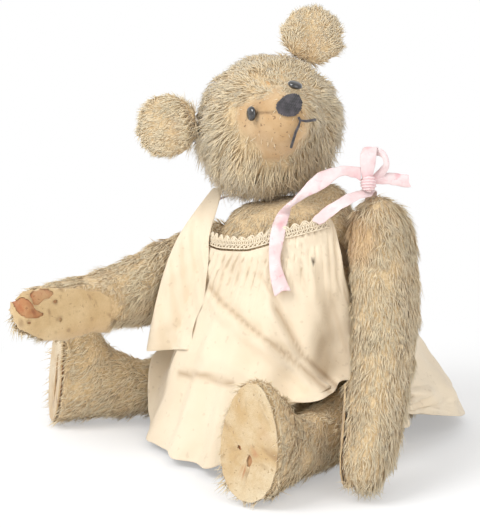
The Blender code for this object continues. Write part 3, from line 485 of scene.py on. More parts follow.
def growPile(pieceName, skin, body, settings, comb, share, seed, rustAt=None, longer=None):
    # short tapered locks of mohair, combed along the skin and gathered into clumps
    maker = np.random.default_rng(seed)
    mesh = skin.data
    mesh.calc_loop_triangles()
    triangles = np.empty(len(mesh.loop_triangles) * 3, int)
    mesh.loop_triangles.foreach_get("vertices", triangles)
    triangles = triangles.reshape(-1, 3)
    places, normals = placesOf(skin), normalsOf(skin)
    corner = places[triangles]
    area = np.linalg.norm(np.cross(corner[:, 1] - corner[:, 0], corner[:, 2] - corner[:, 0]), axis=1) / 2
    chance = area * share[triangles].mean(1)
    chosen = maker.choice(len(triangles), settings["count"], p=chance / chance.sum())
    spots = np.sort(maker.random((settings["count"], 2)), axis=1)
    mix = np.stack([spots[:, 0], spots[:, 1] - spots[:, 0], 1 - spots[:, 1]], axis=1)
    root = (corner[chosen] * mix[:, :, None]).sum(1)
    normal = (normals[triangles[chosen]] * mix[:, :, None]).sum(1)
    normal /= np.linalg.norm(normal, axis=1)[:, None]
    local = (share[triangles[chosen]] * mix).sum(1)
    flow = comb(root)
    flow += mohair["stray"] * np.stack([ripple(root, 0.016, seed + k) for k in (1, 2, 3)], axis=1)
    flow += maker.normal(scale=mohair["scatter"], size=flow.shape)
    flow -= normal * (flow * normal).sum(1)[:, None]
    flow /= np.linalg.norm(flow, axis=1)[:, None] + 1e-9
    lift = settings["lift"] * (1 + 0.35 * ripple(root, 0.013, seed + 7)) + maker.normal(scale=0.07, size=len(root))
    lift = np.clip(lift, 0.08, 1.2)[:, None]
    direction = flow + normal * lift
    direction /= np.linalg.norm(direction, axis=1)[:, None]
    clumpSpot = np.round(root / settings["clump"]) * settings["clump"]
    pull = (clumpSpot - root) * 0.75
    pull -= normal * (pull * normal).sum(1)[:, None]
    length = settings["length"] * np.clip(0.78 + 0.22 * ripple(root, 0.03, seed + 9), 0.4, 1.3)
    length = length * np.clip(0.35 + 0.65 * local, 0.3, 1) * maker.uniform(0.7, 1.12, len(root))
    if longer is not None:
        length = length * longer(root)
    length = length[:, None]
    width = settings["width"] * maker.uniform(0.7, 1.25, len(root))[:, None]
    side = np.cross(direction, normal)
    side /= np.linalg.norm(side, axis=1)[:, None] + 1e-9
    bow = np.cross(side, direction)
    curl = maker.normal(scale=0.16, size=len(root))[:, None]
    stations = ((0.0, 1.0), (0.55, 0.85), (1.0, 0.0))
    rings = []
    for t, thick in stations:
        middle = root - normal * 0.0006 + direction * length * t + pull * t
        middle = middle - normal * length * (0.30 * t * t) * lift + side * length * curl * t * t
        middle[:, 2] -= (length[:, 0] * 0.10 * t * t)
        if thick == 0:
            rings.append([middle])
            continue
        ring = []
        for k in range(3):
            turn = 2 * math.pi * k / 3 + 0.5
            ring.append(middle + (side * math.cos(turn) + bow * math.sin(turn) * 0.6) * width * thick * 0.5)
        rings.append(ring)
    points = np.stack([p for ring in rings for p in ring], axis=1)
    pattern = [(0, 2, 1)]
    for k in range(3):
        n = (k + 1) % 3
        pattern += [(k, n, 3 + n), (k, 3 + n, 3 + k), (3 + k, 3 + n, 6)]
    pattern = np.array(pattern)
    faces = (np.arange(len(root))[:, None, None] * 7 + pattern[None]).reshape(-1, 3)
    pile = bpy.data.meshes.new(pieceName)
    pile.vertices.add(len(root) * 7)
    pile.vertices.foreach_set("co", points.astype(np.float32).ravel())
    pile.loops.add(len(faces) * 3)
    pile.loops.foreach_set("vertex_index", faces.ravel().astype(np.int32))
    pile.polygons.add(len(faces))
    pile.polygons.foreach_set("loop_start", np.arange(len(faces), dtype=np.int32) * 3)
    pile.update(calc_edges=True)
    pile.validate()
    piece = bpy.data.objects.new(pieceName, pile)
    bpy.context.collection.objects.link(piece)
    heights = np.array([t for t, thick in stations for _ in range(1 if thick == 0 else 3)])
    paint(piece, "along", np.tile(heights, len(root)))
    tone = np.clip(0.45 + 0.40 * ripple(root, 0.040, seed + 11) + maker.normal(scale=0.25, size=len(root)), 0, 1)
    paint(piece, "tone", np.repeat(tone, 7))
    rusty = np.zeros(len(root)) if rustAt is None else rustAt(root)
    paint(piece, "rusty", np.repeat(np.clip(rusty, 0, 1), 7))
    for polygon in pile.polygons:
        polygon.use_smooth = True
    pile.materials.append(pileMaterial)
    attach(piece, body)
    return piece


def noBareSpot(piece, places):
    return np.zeros(len(places))


def centreOf(nodeName):
    low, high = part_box(nodeName)
    return np.array((low + high) / 2)


head = {"muzzle": ((237, 106), (254, 99), (270, 94), (274, 86), (298, 98), (307, 114), (309, 134), (298, 150),
                   (280, 162), (264, 161), (256, 144), (240, 132), (235, 119)),
        "seam": ((247, 118), (258, 113), (275, 112)),
        "rustSpecks": ((268, 82), (276, 76), (262, 92), (283, 73)),
        "pile": {"count": 14000, "length": 0.0185, "width": 0.0009, "lift": 0.38, "clump": 0.0056}}


def headBare(piece, places):
    return insidePicture(places, head["muzzle"], 6) * facing(piece)


def headComb(root):
    away = root - noseSpot
    away /= np.linalg.norm(away, axis=1)[:, None]
    flow = away * 1.0
    flow[:, 2] -= 0.55 * stepBetween(noseSpot[2] + 0.03 - root[:, 2], -0.02, 0.05)
    return flow


noseSpot = centreOf("nose_stitching")
headSkin = makeSkin("head", "headSkin", "head", (), headBare)
paint(headSkin, "seam", alongStroke(placesOf(headSkin), head["seam"], 1.1) * facing(headSkin) * 0.7)
rustSpots = sum(alongStroke(placesOf(headSkin), (spot, (spot[0] + 1, spot[1] + 1)), 2.2)
                for spot in head["rustSpecks"])
paint(headSkin, "rusty", rustSpots * facing(headSkin))
bareMask = headBare(headSkin, placesOf(headSkin))


headShare = np.clip(1 - bareMask, 0, 1) ** 1.5 + 0.02


def headLonger(root):
    # the locks under the chin hang long, and so do those that run up to the ears
    hanging = stepBetween(noseSpot[2] - 0.012 - root[:, 2], 0.0, 0.025)
    nearEar = np.minimum(*[np.linalg.norm(root - centreOf(name), axis=1) for name in ("right_ear", "left_ear")])
    return 1 + 0.55 * hanging + 0.5 * (1 - stepBetween(nearEar, 0.018, 0.034))


growPile("headPile", headSkin, "head", head["pile"], headComb, headShare, 11, longer=headLonger)
print("head done")


# ears

ears = {"right_ear": {"bare": ((176, 112), (186, 118), (186, 142), (178, 148), (172, 130))},
        "left_ear": {"bare": ((296, 46), (306, 36), (318, 34), (322, 44), (312, 58), (300, 60))},
        "pile": {"count": 3200, "length": 0.0105, "width": 0.0008, "lift": 0.36, "clump": 0.0040}}


headTree = treeOf([nodes["head"]])


def makeEar(nodeName, seed):
    def earBare(piece, places):
        return 0.35 * insidePicture(places, ears[nodeName]["bare"], 6) * facing(piece)

    skin = makeSkin(nodeName, nodeName.replace("_e", "E") + "Skin", "head", (), earBare, 0.15)
    mask = earBare(skin, placesOf(skin))
    middle = centreOf("head")

    def earComb(root):
        flow = root - middle
        flow /= np.linalg.norm(flow, axis=1)[:, None]
        flow[:, 2] -= 0.25
        return flow

    def earLonger(root):
        fromHead = np.array([headTree.find_nearest(Vector(p))[3] for p in root])
        return 1 + 0.7 * (1 - stepBetween(fromHead, 0.001, 0.014))

    growPile(nodeName.replace("_e", "E") + "Pile", skin, "head", ears["pile"], earComb, np.clip(1 - mask, 0.06, 1),
             seed, lambda root: 0.3 * insidePicture(root, ears[nodeName]["bare"], 8), earLonger)


makeEar("right_ear", 21)
makeEar("left_ear", 23)
print("ears done")


# boot-button eyes, stitched nose and mouth

button = {"colour": (0.006, 0.005, 0.005), "rim": (0.05, 0.035, 0.025)}
thread = {"colour": (0.035, 0.032, 0.036), "worn": (0.10, 0.09, 0.10), "stitches": 17}


def makeButtonMaterial():
    material, tree, shader = nodeMaterial("bootButton", Roughness=0.10, Coat_Weight=1.0, Coat_Roughness=0.04)
    place = objectPlace(tree)
    scratches = put(tree, "ShaderNodeTexNoise", Scale=700.0, Detail=5.0)
    tree.links.new(place, scratches.inputs["Vector"])
    worn = ranged(tree, scratches.outputs["Fac"], 0.58, 0.75)
    tree.links.new(mixColours(tree, worn, button["colour"], button["rim"]), shader.inputs["Base Color"])
    tree.links.new(ranged(tree, scratches.outputs["Fac"], 0.3, 0.8, 0.06, 0.22), shader.inputs["Roughness"])
    return material


def makeThreadMaterial():
    material, tree, shader = nodeMaterial("blackThread", Roughness=0.75, Sheen_Weight=0.2)
    place = objectPlace(tree)
    twist = put(tree, "ShaderNodeTexWave", wave_type="BANDS", bands_direction="DIAGONAL", Scale=700.0, Distortion=2.0)
    tree.links.new(place, twist.inputs["Vector"])
    patches = put(tree, "ShaderNodeTexNoise", Scale=180.0, Detail=3.0)
    tree.links.new(place, patches.inputs["Vector"])
    colour = mixColours(tree, ranged(tree, patches.outputs["Fac"], 0.42, 0.68), thread["colour"], thread["worn"])
    tree.links.new(colour, shader.inputs["Base Color"])
    addBump(tree, shader, twist.outputs["Fac"], 0.6, 0.0003)
    return material


buttonMaterial, threadMaterial = makeButtonMaterial(), makeThreadMaterial()

for eyeName in ("right_eye", "left_eye"):
    eye = copyNode(eyeName, eyeName.replace("_e", "E"))
    useModifier(eye, "SUBSURF", levels=2, render_levels=2)
    eye.data.materials.append(buttonMaterial)
    smoothShade(eye)
    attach(eye, "head")
    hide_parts(eyeName)


def tubeMesh(pieceName, paths, radius, sides=5, taper=True):
    # closed round threads along lists of points, as one mesh
    points, faces = [], []
    for path in paths:
        path = [Vector(p) for p in path]
        start = len(points)
        normal = None
        for i, spot in enumerate(path):
            ahead = (path[min(i + 1, len(path) - 1)] - path[max(i - 1, 0)]).normalized()
            if normal is None:
                normal = ahead.orthogonal().normalized()
            normal = (normal - ahead * normal.dot(ahead)).normalized()
            other = ahead.cross(normal)
            end = 0.55 if taper and i in (0, len(path) - 1) else 1.0
            for k in range(sides):
                turn = 2 * math.pi * k / sides
                points.append(spot + (normal * math.cos(turn) + other * math.sin(turn)) * radius * end)
        for i in range(len(path) - 1):
            for k in range(sides):
                a, b = start + i * sides + k, start + i * sides + (k + 1) % sides
                faces.append((a, b, b + sides, a + sides))
        last = start + (len(path) - 1) * sides
        faces.append(tuple(start + k for k in reversed(range(sides))))
        faces.append(tuple(last + k for k in range(sides)))
    piece = newPiece(pieceName, points, faces)
    piece.data.update()
    smoothShade(piece)
    return piece


def makeNose():
    # satin stitches, side by side over the nose's shape
    nose = nodes["nose_stitching"]
    tree = treeOf([nose])
    x, y, _ = inPicture(placesOf(nose))
    flat = np.stack([x, y], axis=1)
    centre = flat.mean(0)
    _, _, (wide, tall) = np.linalg.svd(flat - centre, full_matrices=False)
    local = (flat - centre) @ wide
    half = (local.max() - local.min()) / 2
    middle = centre + wide * (local.max() + local.min()) / 2
    nearer = -Vector(gaze)
    paths = []
    count = thread["stitches"]
    for i in range(count):
        u = (i + 0.5) / count * 2 - 1
        found = []
        for k in range(61):
            spot = middle + wide * u * half * 0.97 + tall * (k / 60 * 2 - 1) * half * 1.3
            hit = tree.ray_cast(eyePoint, (onPicture(spot[0], spot[1], 1.0) - eyePoint).normalized())[0]
            if hit:
                found.append(hit)
        if len(found) < 4:
            continue
        kept = found[::max(1, len(found) // 9)] + [found[-1]]
        paths.append([kept[0] - nearer * 0.0012] + [p + nearer * 0.00015 for p in kept] + [kept[-1] - nearer * 0.0012])
    half /= view["scale"]
    piece = tubeMesh("noseStitches", paths, half * 0.97 / count * 1.25, 6)
    piece.data.materials.append(threadMaterial)
    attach(piece, "head")
    giveMaterial("nose_stitching", threadMaterial)


makeNose()
giveMaterial("mouth_stitching", threadMaterial)
print("face done")


# arms and legs

pawOutline = ((10, 312), (13, 302), (24, 293), (42, 289), (70, 289), (98, 291), (110, 297), (111, 318),
              (110, 337), (92, 343), (62, 343), (38, 337), (20, 328))
limbs = {
    "right_arm": {"pads": ("right_paw_pad", "right_paw_pad_lining"), "seed": 31,
                  "feltOutline": pawOutline,
                  "pile": {"count": 8800, "length": 0.0175, "width": 0.0009, "lift": 0.34, "clump": 0.0054}},
    "left_arm": {"pads": ("left_paw_pad", "left_paw_pad_lining"), "seed": 33,
                 "bare": ((338, 212), (356, 208), (374, 220), (376, 244), (362, 258), (345, 257), (336, 236)),
                 "rust": ((341, 242), (345, 246)),
                 "pile": {"count": 9500, "length": 0.0175, "width": 0.0009, "lift": 0.34, "clump": 0.0054}},
    "right_leg": {"pads": ("right_foot_pad", "right_foot_pad_lining"), "seed": 35,
                  "pile": {"count": 6500, "length": 0.0155, "width": 0.0009, "lift": 0.34, "clump": 0.0054}},
    "left_leg": {"pads": ("left_foot_pad", "left_foot_pad_lining"), "seed": 37,
                 "pile": {"count": 7500, "length": 0.0155, "width": 0.0009, "lift": 0.34, "clump": 0.0054}}}

clothTree = treeOf([nodes["dress"], nodes["right_shoulder_panel"]])
torsoTree = treeOf([nodes["torso"]])


def clearOf(tree, places, normals, reach):
    # 1 where nothing lies over the skin within reach, less where something does
    room = np.ones(len(places))
    for i, (place, normal) in enumerate(zip(places, normals)):
        distance = tree.ray_cast(Vector(place) + Vector(normal) * 0.0005, Vector(normal), reach)[3]
        if distance is not None:
            room[i] = distance / reach
    return room


def makeLimb(name):
    limb = limbs[name]
    padTree = treeOf([nodes[p] for p in limb["pads"]])
    padMiddle = centreOf(limb["pads"][0])

    def limbBare(piece, places):
        if "bare" not in limb:
            return noBareSpot(piece, places)
        return 0.55 * insidePicture(places, limb["bare"], 8) * facing(piece)

    title = name.replace("_a", "A").replace("_l", "L")
    skin = makeSkin(name, title + "Skin", name, limb["pads"], limbBare)
    places, normals = placesOf(skin), normalsOf(skin)
    bare = limbBare(skin, places)
    if "rust" in limb:
        paint(skin, "rusty", alongStroke(places, limb["rust"], 3) * facing(skin))
    room = clearOf(clothTree, places, normals, 0.012) * stepBetween(clearOf(torsoTree, places, normals, 0.012), 0.2, 1)
    nearPad = np.array([padTree.find_nearest(Vector(p))[3] for p in places])
    inner = clearOf(treeOf([nodes[name]]), places, normals, 0.03)
    share = np.clip(1 - bare, 0.04, 1) * (0.15 + 0.85 * room) * stepBetween(nearPad, 0.0012, 0.004)
    share[(inner < 0.85) & (inner > 0.2)] = 0
    if "feltOutline" in limb:
        share *= 1 - insidePicture(places, limb["feltOutline"], 1.5) * (facing(skin) > 0.3)
    points = np.array([v.co for v in nodes[name].data.vertices])
    middle = points.mean(0)
    axis = np.linalg.svd(points - middle, full_matrices=False)[2][0]
    if axis @ (padMiddle - middle) < 0:
        axis = -axis

    def limbComb(root):
        flow = np.tile(axis, (len(root), 1))
        flow[:, 2] -= 0.35
        return flow

    def limbRust(root):
        return 0.75 * insidePicture(root, limb["bare"], 9) if "bare" in limb else np.zeros(len(root))

    growPile(title + "Pile", skin, name, limb["pile"], limbComb, share, limb["seed"], limbRust)
    print(name, "done")


for limbName in limbs:
    makeLimb(limbName)


# torso: pile only where the dress leaves it open

torso = {"pile": {"count": 6000, "length": 0.0100, "width": 0.00085, "lift": 0.34, "clump": 0.0042}}
torsoSkin = makeSkin("torso", "torsoSkin", "torso", (), noBareSpot)


def makeTorsoPile():
    places, normals = placesOf(torsoSkin), normalsOf(torsoSkin)
    covers = treeOf([nodes[n] for n in ("dress", "right_shoulder_panel", "neckline_lace", "back_lace", "head",
                                        "left_arm", "right_arm", "left_leg", "right_leg")])
    own = clearOf(treeOf([nodes["torso"]]), places, normals, 0.05)
    room = clearOf(covers, places, normals, 0.016)
    share = stepBetween(room, 0.25, 0.9) * ((own < 0.12) | (own > 0.95)) * stepBetween(places[:, 2], 0.10, 0.13)

    def torsoComb(root):
        return np.tile(np.array((0.0, -0.15, -1.0)), (len(root), 1))

    growPile("torsoPile", torsoSkin, "torso", torso["pile"], torsoComb, share + 1e-6, 41)


makeTorsoPile()
print("torso done")


# felt pads, moth holes and the older felt below

felt = {"colour": (0.56, 0.385, 0.185), "light": (0.68, 0.51, 0.28), "dirt": (0.30, 0.18, 0.08),
        "cream": (0.72, 0.60, 0.40), "lining": (0.42, 0.155, 0.055), "liningDark": (0.22, 0.075, 0.03),
        "nap": 1400.0}


def makeFeltMaterial(name, colour, light, dirt):
    material, tree, shader = nodeMaterial(name, Roughness=0.95, Sheen_Weight=0.35, Sheen_Roughness=0.6)
    shader.inputs["Specular IOR Level"].default_value = 0.1
    place = objectPlace(tree)
    stains = placeGroup(tree, stainGroup, Place=place, Spread=38.0, Specks=420.0)
    nap = put(tree, "ShaderNodeTexNoise", Scale=felt["nap"], Detail=4.0, Roughness=0.7)
    tree.links.new(place, nap.inputs["Vector"])
    tone = mixColours(tree, stains.outputs["Broad"], colour, light)
    tone = mixColours(tree, ranged(tree, nap.outputs["Fac"], 0.35, 0.7, 0.0, 0.35), tone, dirt)
    tone = mixColours(tree, maths(tree, "MULTIPLY", stains.outputs["Speck"], 0.6), tone, dirt)
    tone = mixColours(tree, maths(tree, "MULTIPLY", attribute(tree, "worn"), 0.7), tone, dirt)
    tone = mixColours(tree, attribute(tree, "rusty"), tone, felt["lining"])
    tree.links.new(tone, shader.inputs["Base Color"])
    addBump(tree, shader, nap.outputs["Fac"], 0.55, 0.0005)
    return material


feltMaterial = makeFeltMaterial("woolFelt", felt["colour"], felt["light"], felt["dirt"])
creamFelt = makeFeltMaterial("paleFelt", felt["colour"], felt["cream"], felt["dirt"])
liningMaterial = makeFeltMaterial("olderFelt", felt["lining"], felt["colour"], felt["liningDark"])

feltPads = {"left_foot_pad": {"body": "left_leg", "specks": ((254, 453), (273, 443), (282, 403), (243, 470),
                                                            (262, 432), (280, 460), (284, 440))},
            "right_foot_pad": {"body": "right_leg", "specks": ()},
            "left_paw_pad": {"body": "left_arm", "specks": ()}}

pawFelt = {"holes": (((15, 302), (23, 299), (29, 303), (34, 310), (42, 314), (36, 317), (27, 317), (20, 312)),
                     ((30, 296), (34, 292), (45, 291), (52, 293), (50, 297), (43, 300), (35, 306), (32, 303)),
                     ((53, 302), (57, 301), (56, 304)), ((57, 319), (61, 317), (60, 321)),
                     ((27, 321), (30, 321), (29, 324))),
           "step": 2.0, "lift": 0.0020, "thickness": 0.0010}


def pictureFelt(pieceName, outline, holes, base, lift, material, body, replaced, edgeWear):
    # a felt patch cut to an outline in the picture and laid on what it is sewn to
    tree = treeOf([nodes[base]])
    corners = np.array(outline, float)
    low, high = corners.min(0), corners.max(0)
    step = pawFelt["step"]
    columnCount = int((high[0] - low[0]) / step) + 2
    down = int((high[1] - low[1]) / step) + 2
    spots = {}
    places = []
    for j in range(down):
        for i in range(columnCount):
            x, y = low[0] + i * step, low[1] + j * step
            line = (onPicture(x, y, 1.0) - eyePoint).normalized()
            hit, normal, _, _ = tree.ray_cast(eyePoint, line)
            if hit and -normal.dot(line) > 0.12:
                spots[i, j] = len(places)
                places.append(hit + normal * lift)
    cells = [(i, j) for i, j in spots if all(c in spots for c in ((i + 1, j), (i, j + 1), (i + 1, j + 1)))]
    middles = np.array([(low[0] + (i + 0.5) * step, low[1] + (j + 0.5) * step) for i, j in cells])
    keep = insideOutline(*middles.T, corners)
    for hole in holes:
        keep &= ~insideOutline(*middles.T, np.array(hole, float))
    faces = [(spots[i, j], spots[i, j + 1], spots[i + 1, j + 1], spots[i + 1, j])
             for (i, j), kept in zip(cells, keep) if kept]
    piece = newPiece(pieceName, places, faces)
    pick(piece)
    bpy.ops.object.mode_set(mode="EDIT")
    bpy.ops.mesh.select_all(action="SELECT")
    bpy.ops.mesh.delete_loose()
    bpy.ops.object.mode_set(mode="OBJECT")
    faceOutward(piece)
    useModifier(piece, "SMOOTH", factor=0.5, iterations=4)
    useModifier(piece, "SOLIDIFY", thickness=pawFelt["thickness"], offset=0.0)
    useModifier(piece, "SUBSURF", levels=1, render_levels=1)
    smoothShade(piece)
    places = placesOf(piece)
    paint(piece, "rusty", np.zeros(len(places)))
    x, y, _ = inPicture(places)
    ragged = np.full(len(places), 1e9)
    for hole in holes:
        ragged = np.minimum(ragged, outlineDistance(x, y, np.array(hole, float)))
    patches = np.clip(ripple(places, 0.012, 8) - 0.8, 0, 1)
    paint(piece, "worn", np.clip(np.exp(-(ragged / 1.6) ** 2) * edgeWear + patches, 0, 1))
    piece.data.materials.append(material)
    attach(piece, body)
    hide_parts(replaced)


def makePad(nodeName):
    pad = copyNode(nodeName, nodeName.replace("_f", "F").replace("_pad", "Pad").replace("_paw", "Paw"))
    useModifier(pad, "SUBSURF", subdivision_type="SIMPLE", levels=2, render_levels=2)
    places = placesOf(pad)
    moveTo(pad, places + normalsOf(pad) * (0.00018 * ripple(places, 0.006, 5))[:, None])
    rim = np.zeros(len(places))
    specks = [alongStroke(places, (s, (s[0] + 1, s[1] + 1)), 2.0) for s in feltPads[nodeName]["specks"]]
    paint(pad, "rusty", sum(specks) * 0.9 if specks else rim)
    paint(pad, "worn", np.clip(ripple(places, 0.012, 8) - 0.6, 0, 1))
    pad.data.materials.append(creamFelt if "foot" in nodeName else feltMaterial)
    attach(pad, feltPads[nodeName]["body"])
    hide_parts(nodeName)
    giveMaterial(nodeName + "_lining", liningMaterial)


for padName in feltPads:
    makePad(padName)
pictureFelt("rightPawPad", pawOutline, pawFelt["holes"], "right_arm", pawFelt["lift"], feltMaterial,
            "right_arm", "right_paw_pad", 0.8)
pictureFelt("rightPawLining", pawOutline, (), "right_arm", pawFelt["lift"] - 0.0013, liningMaterial,
            "right_arm", "right_paw_pad_lining", 0.0)
print("pads done")


# the cotton slip: a thin sheet that hangs from its gathered neckline

# fold: the colour of painted shade along the slip's folds; dirt: real specks and wear, and also painted shade in the
# gathers' troughs
cotton = {"colour": (0.86, 0.735, 0.56), "shade": (0.74, 0.60, 0.42), "dirt": (0.40, 0.28, 0.16),
          "fold": (0.42, 0.28, 0.15), "threads": 620.0, "gathers": 62.0}

# clear, pull: room kept before the body, and the most that a point is drawn forward for it
slip = {"clear": 0.0035, "pull": 0.02, "armhole": 284,
        "armY": (205, 235, 270, 300, 335, 360), "armWiden": (20, 18, 12, 8, 4, 0),
        "armRise": (12, 10, 2, 0, 0, 0),
        "columns": 31, "gatherHeight": 0.0013, "gatherReach": 0.045, "wideHeight": 0.0016,
        "folds": (((207, 284), (222, 302), (250, 327), (280, 350), (305, 370), (330, 392), 4, -0.0045),
                  ((203, 292), (218, 310), (246, 335), (276, 358), (301, 378), (326, 400), 6, 0.0055),
                  ((276, 307), (290, 332), (302, 355), (325, 375), (350, 398), 4, -0.0042),
                  ((270, 310), (284, 336), (296, 360), (319, 381), (344, 404), 5, 0.0040),
                  ((260, 275), (275, 297), (280, 310), 3, -0.0014),
                  ((300, 262), (303, 278), (305, 292), 3, -0.0014),
                  ((240, 262), (232, 300), (222, 330), 5, -0.0012),
                  ((312, 268), (318, 305), (330, 340), 4, 0.0016),
                  ((320, 262), (326, 300), (338, 340), 4, -0.0016),
                  ((190, 352), (222, 362), (252, 380), 6, 0.0026),
                  ((180, 374), (205, 376), (232, 384), 3, -0.0030)),
        # shadows: strokes of painted shade along the fold grooves and under the upper layer's hem, with width and
        # darkness
        "shadows": (((207, 284), (222, 302), (250, 327), (280, 350), (305, 370), (330, 392), 2.2, 0.8),
                    ((276, 307), (290, 332), (302, 355), (325, 375), (350, 398), 2.2, 0.8),
                    ((260, 275), (275, 297), (280, 310), 1.8, 0.4),
                    ((180, 374), (205, 376), (232, 384), 3.4, 0.9),
                    ((300, 262), (303, 278), (305, 292), 1.6, 0.35),
                    ((240, 250), (240, 272), 1.6, 0.3), ((223, 252), (222, 276), 1.6, 0.3),
                    ((328, 290), (338, 320), (346, 350), 3.0, 0.35)),
        "hole": (313, 263), "flat": (0.80, 0.19), "area": 0.125}


def makeCottonMaterial(name, colour, shade):
    material, tree, shader = nodeMaterial(name, Roughness=0.9, Sheen_Weight=0.25, Sheen_Roughness=0.5)
    shader.inputs["Specular IOR Level"].default_value = 0.15
    place = objectPlace(tree)
    weave = placeGroup(tree, weaveGroup, Place=place, Threads=cotton["threads"])
    stains = placeGroup(tree, stainGroup, Place=place, Spread=14.0, Specks=210.0)
    tone = mixColours(tree, maths(tree, "MULTIPLY", stains.outputs["Broad"], 0.45), colour, shade)
    tone = mixColours(tree, maths(tree, "MULTIPLY", weave.outputs["Gap"], 0.22), tone, shade)
    tone = mixColours(tree, maths(tree, "MULTIPLY", stains.outputs["Speck"], 0.18), tone, cotton["dirt"])
    tone = mixColours(tree, maths(tree, "MULTIPLY", attribute(tree, "worn"), 0.55), tone, cotton["dirt"])
    # painted shade: the slip's small hole is a nearly black spot, standing for the shade behind it
    tone = mixColours(tree, attribute(tree, "hole"), tone, (0.05, 0.03, 0.015))
    gathers = maths(tree, "SINE", maths(tree, "MULTIPLY", attribute(tree, "phase"), cotton["gathers"]))
    uneven = put(tree, "ShaderNodeTexNoise", Scale=110.0, Detail=1.0)
    tree.links.new(place, uneven.inputs["Vector"])
    pucker = maths(tree, "MULTIPLY", attribute(tree, "pucker"), ranged(tree, uneven.outputs["Fac"], 0.42, 0.62))
    # painted shade: the troughs of the gathers darken towards the dirt colour
    troughShade = maths(tree, "MULTIPLY", pucker, ranged(tree, gathers, -1.0, -0.55, 1.0, 0.0))
    tone = mixColours(tree, maths(tree, "MULTIPLY", troughShade, 0.6), tone, cotton["dirt"])
    # painted shade along the folds, from the slip's shadow strokes
    tone = mixColours(tree, maths(tree, "MULTIPLY", attribute(tree, "creaseShade"), 0.75), tone, cotton["fold"])
    tree.links.new(tone, shader.inputs["Base Color"])
    slubs = put(tree, "ShaderNodeTexNoise", Scale=170.0, Detail=4.0, Roughness=0.6)
    tree.links.new(place, slubs.inputs["Vector"])
    rough = maths(tree, "ADD", maths(tree, "MULTIPLY", weave.outputs["Height"], 0.5), slubs.outputs["Fac"])
    rough = maths(tree, "ADD", rough, maths(tree, "MULTIPLY", pucker, maths(tree, "MULTIPLY", gathers, 2.2)))
    addBump(tree, shader, rough, 0.55, 0.0005)
    return material


cottonMaterial = makeCottonMaterial("agedCotton", cotton["colour"], cotton["shade"])


def makeSheet(nodeName, pieceName, body, material, levels=2):
    piece = copyNode(nodeName, pieceName)
    pick(piece)
    bpy.ops.object.mode_set(mode="EDIT")
    bpy.ops.mesh.select_all(action="SELECT")
    bpy.ops.mesh.tris_convert_to_quads(face_threshold=0.9, shape_threshold=1.2)
    bpy.ops.object.mode_set(mode="OBJECT")
    useModifier(piece, "SUBSURF", levels=levels, render_levels=levels)
    smoothShade(piece)
    for name in ("worn", "hole"):
        paint(piece, name, np.zeros(len(piece.data.vertices)))
    piece.data.materials.append(material)
    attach(piece, body)
    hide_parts(nodeName)
    return piece


def towardsCamera(places):
    # 1 on the side of the dress that faces the camera
    return stepBetween(-(places @ np.array(forward)), 0.005, 0.03)


def makeSlip():
    piece = makeSheet("dress", "slipDress", "torso", cottonMaterial)
    places = placesOf(piece)
    x, y, _ = inPicture(places)
    edge = stepBetween(x, slip["armhole"], slip["armhole"] + 32) * towardsCamera(places)
    wide, rise = [np.interp(y, slip["armY"], slip[name]) * edge / view["scale"] for name in ("armWiden", "armRise")]
    places = places + np.array(across) * wide[:, None]
    places[:, 2] += rise
    trunk = treeOf([nodes["torso"]])
    for i in np.nonzero(wide > 0.0005)[0]:
        line = (Vector(places[i]) - eyePoint).normalized()
        hit = trunk.ray_cast(eyePoint, line)[0]
        if hit:
            behind = (Vector(places[i]) - hit).dot(line) + slip["clear"]
            places[i] -= np.array(line) * min(max(behind, 0), slip["pull"])
    moveTo(piece, places)
    radial = places * (1, 1, 0)
    reach = np.linalg.norm(radial, axis=1)
    radial /= reach[:, None] + 1e-9
    angle = np.arctan2(places[:, 0], -places[:, 1])
    laceTop = treeOf([nodes["neckline_lace"], nodes["back_lace"]])
    below = np.array([laceTop.find_nearest(Vector(p))[3] for p in places])
    gather = stepBetween(below, 0.003, 0.012) * (1 - stepBetween(below, 0.02, slip["gatherReach"] + 0.03))
    phase = angle * slip["columns"] * 2 + 1.3 * np.sin(5 * angle) + 0.6 * np.sin(11 * angle + 60 * places[:, 2])
    push = slip["gatherHeight"] * gather * np.sin(phase)
    broad = stepBetween(below, 0.02, 0.08)
    push += slip["wideHeight"] * broad * np.sin(angle * 17 + 1.5 * np.sin(3 * angle) + 9 * places[:, 2])
    push += 0.0007 * ripple(places, 0.03, 51)
    moved = radial * push[:, None]
    front = towardsCamera(places)
    toCamera = -np.array(gaze)
    crease = np.zeros(len(places))
    for *stroke, width, height in slip["folds"]:
        crease += alongStroke(places, stroke, width) * height
    moved += (toCamera * (crease * front)[:, None])
    tightTo = treeOf([nodes[n] for n in ("left_leg", "right_leg", "left_arm", "right_arm", "torso",
                                         "right_shoulder_panel", "bow_long_tail", "left_paw_pad", "neckline_lace",
                                         "back_lace")])
    room = np.array([tightTo.find_nearest(Vector(p))[3] for p in places])
    allow = np.maximum(room - 0.0018, 0)
    size = np.linalg.norm(moved, axis=1)
    moved *= np.minimum(1, allow / np.maximum(size, 1e-9))[:, None]
    moveTo(piece, places + moved)
    places = placesOf(piece)
    # the small hole as a painted dark spot: painted shade where the cloth is open
    spot = slip["hole"]
    paint(piece, "hole", (alongStroke(places, (spot, (spot[0] + 1, spot[1] + 2)), 1.8) > 0.5) * front)
    paint(piece, "phase", angle)
    paint(piece, "pucker", stepBetween(below, 0.002, 0.008) * (1 - stepBetween(below, 0.012, 0.050)))
    # painted shade: the shadow strokes darken the camera side of the slip
    dark = np.zeros(len(places))
    for *stroke, width, depth in slip["shadows"]:
        dark = np.maximum(dark, alongStroke(places, stroke, width) * depth)
    paint(piece, "creaseShade", dark * front)
    paint(piece, "worn", np.clip(ripple(places, 0.05, 61) - 0.9, 0, 1) * 0.6)
    return piece


makeSlip()


panel = {"outerY": (190, 240, 280, 330, 350), "outerX": (214, 180, 162, 151, 148),
         "innerX": (222, 214, 202, 178, 166), "widen": (0, 2, 10, 24, 30), "clear": 0.0035}


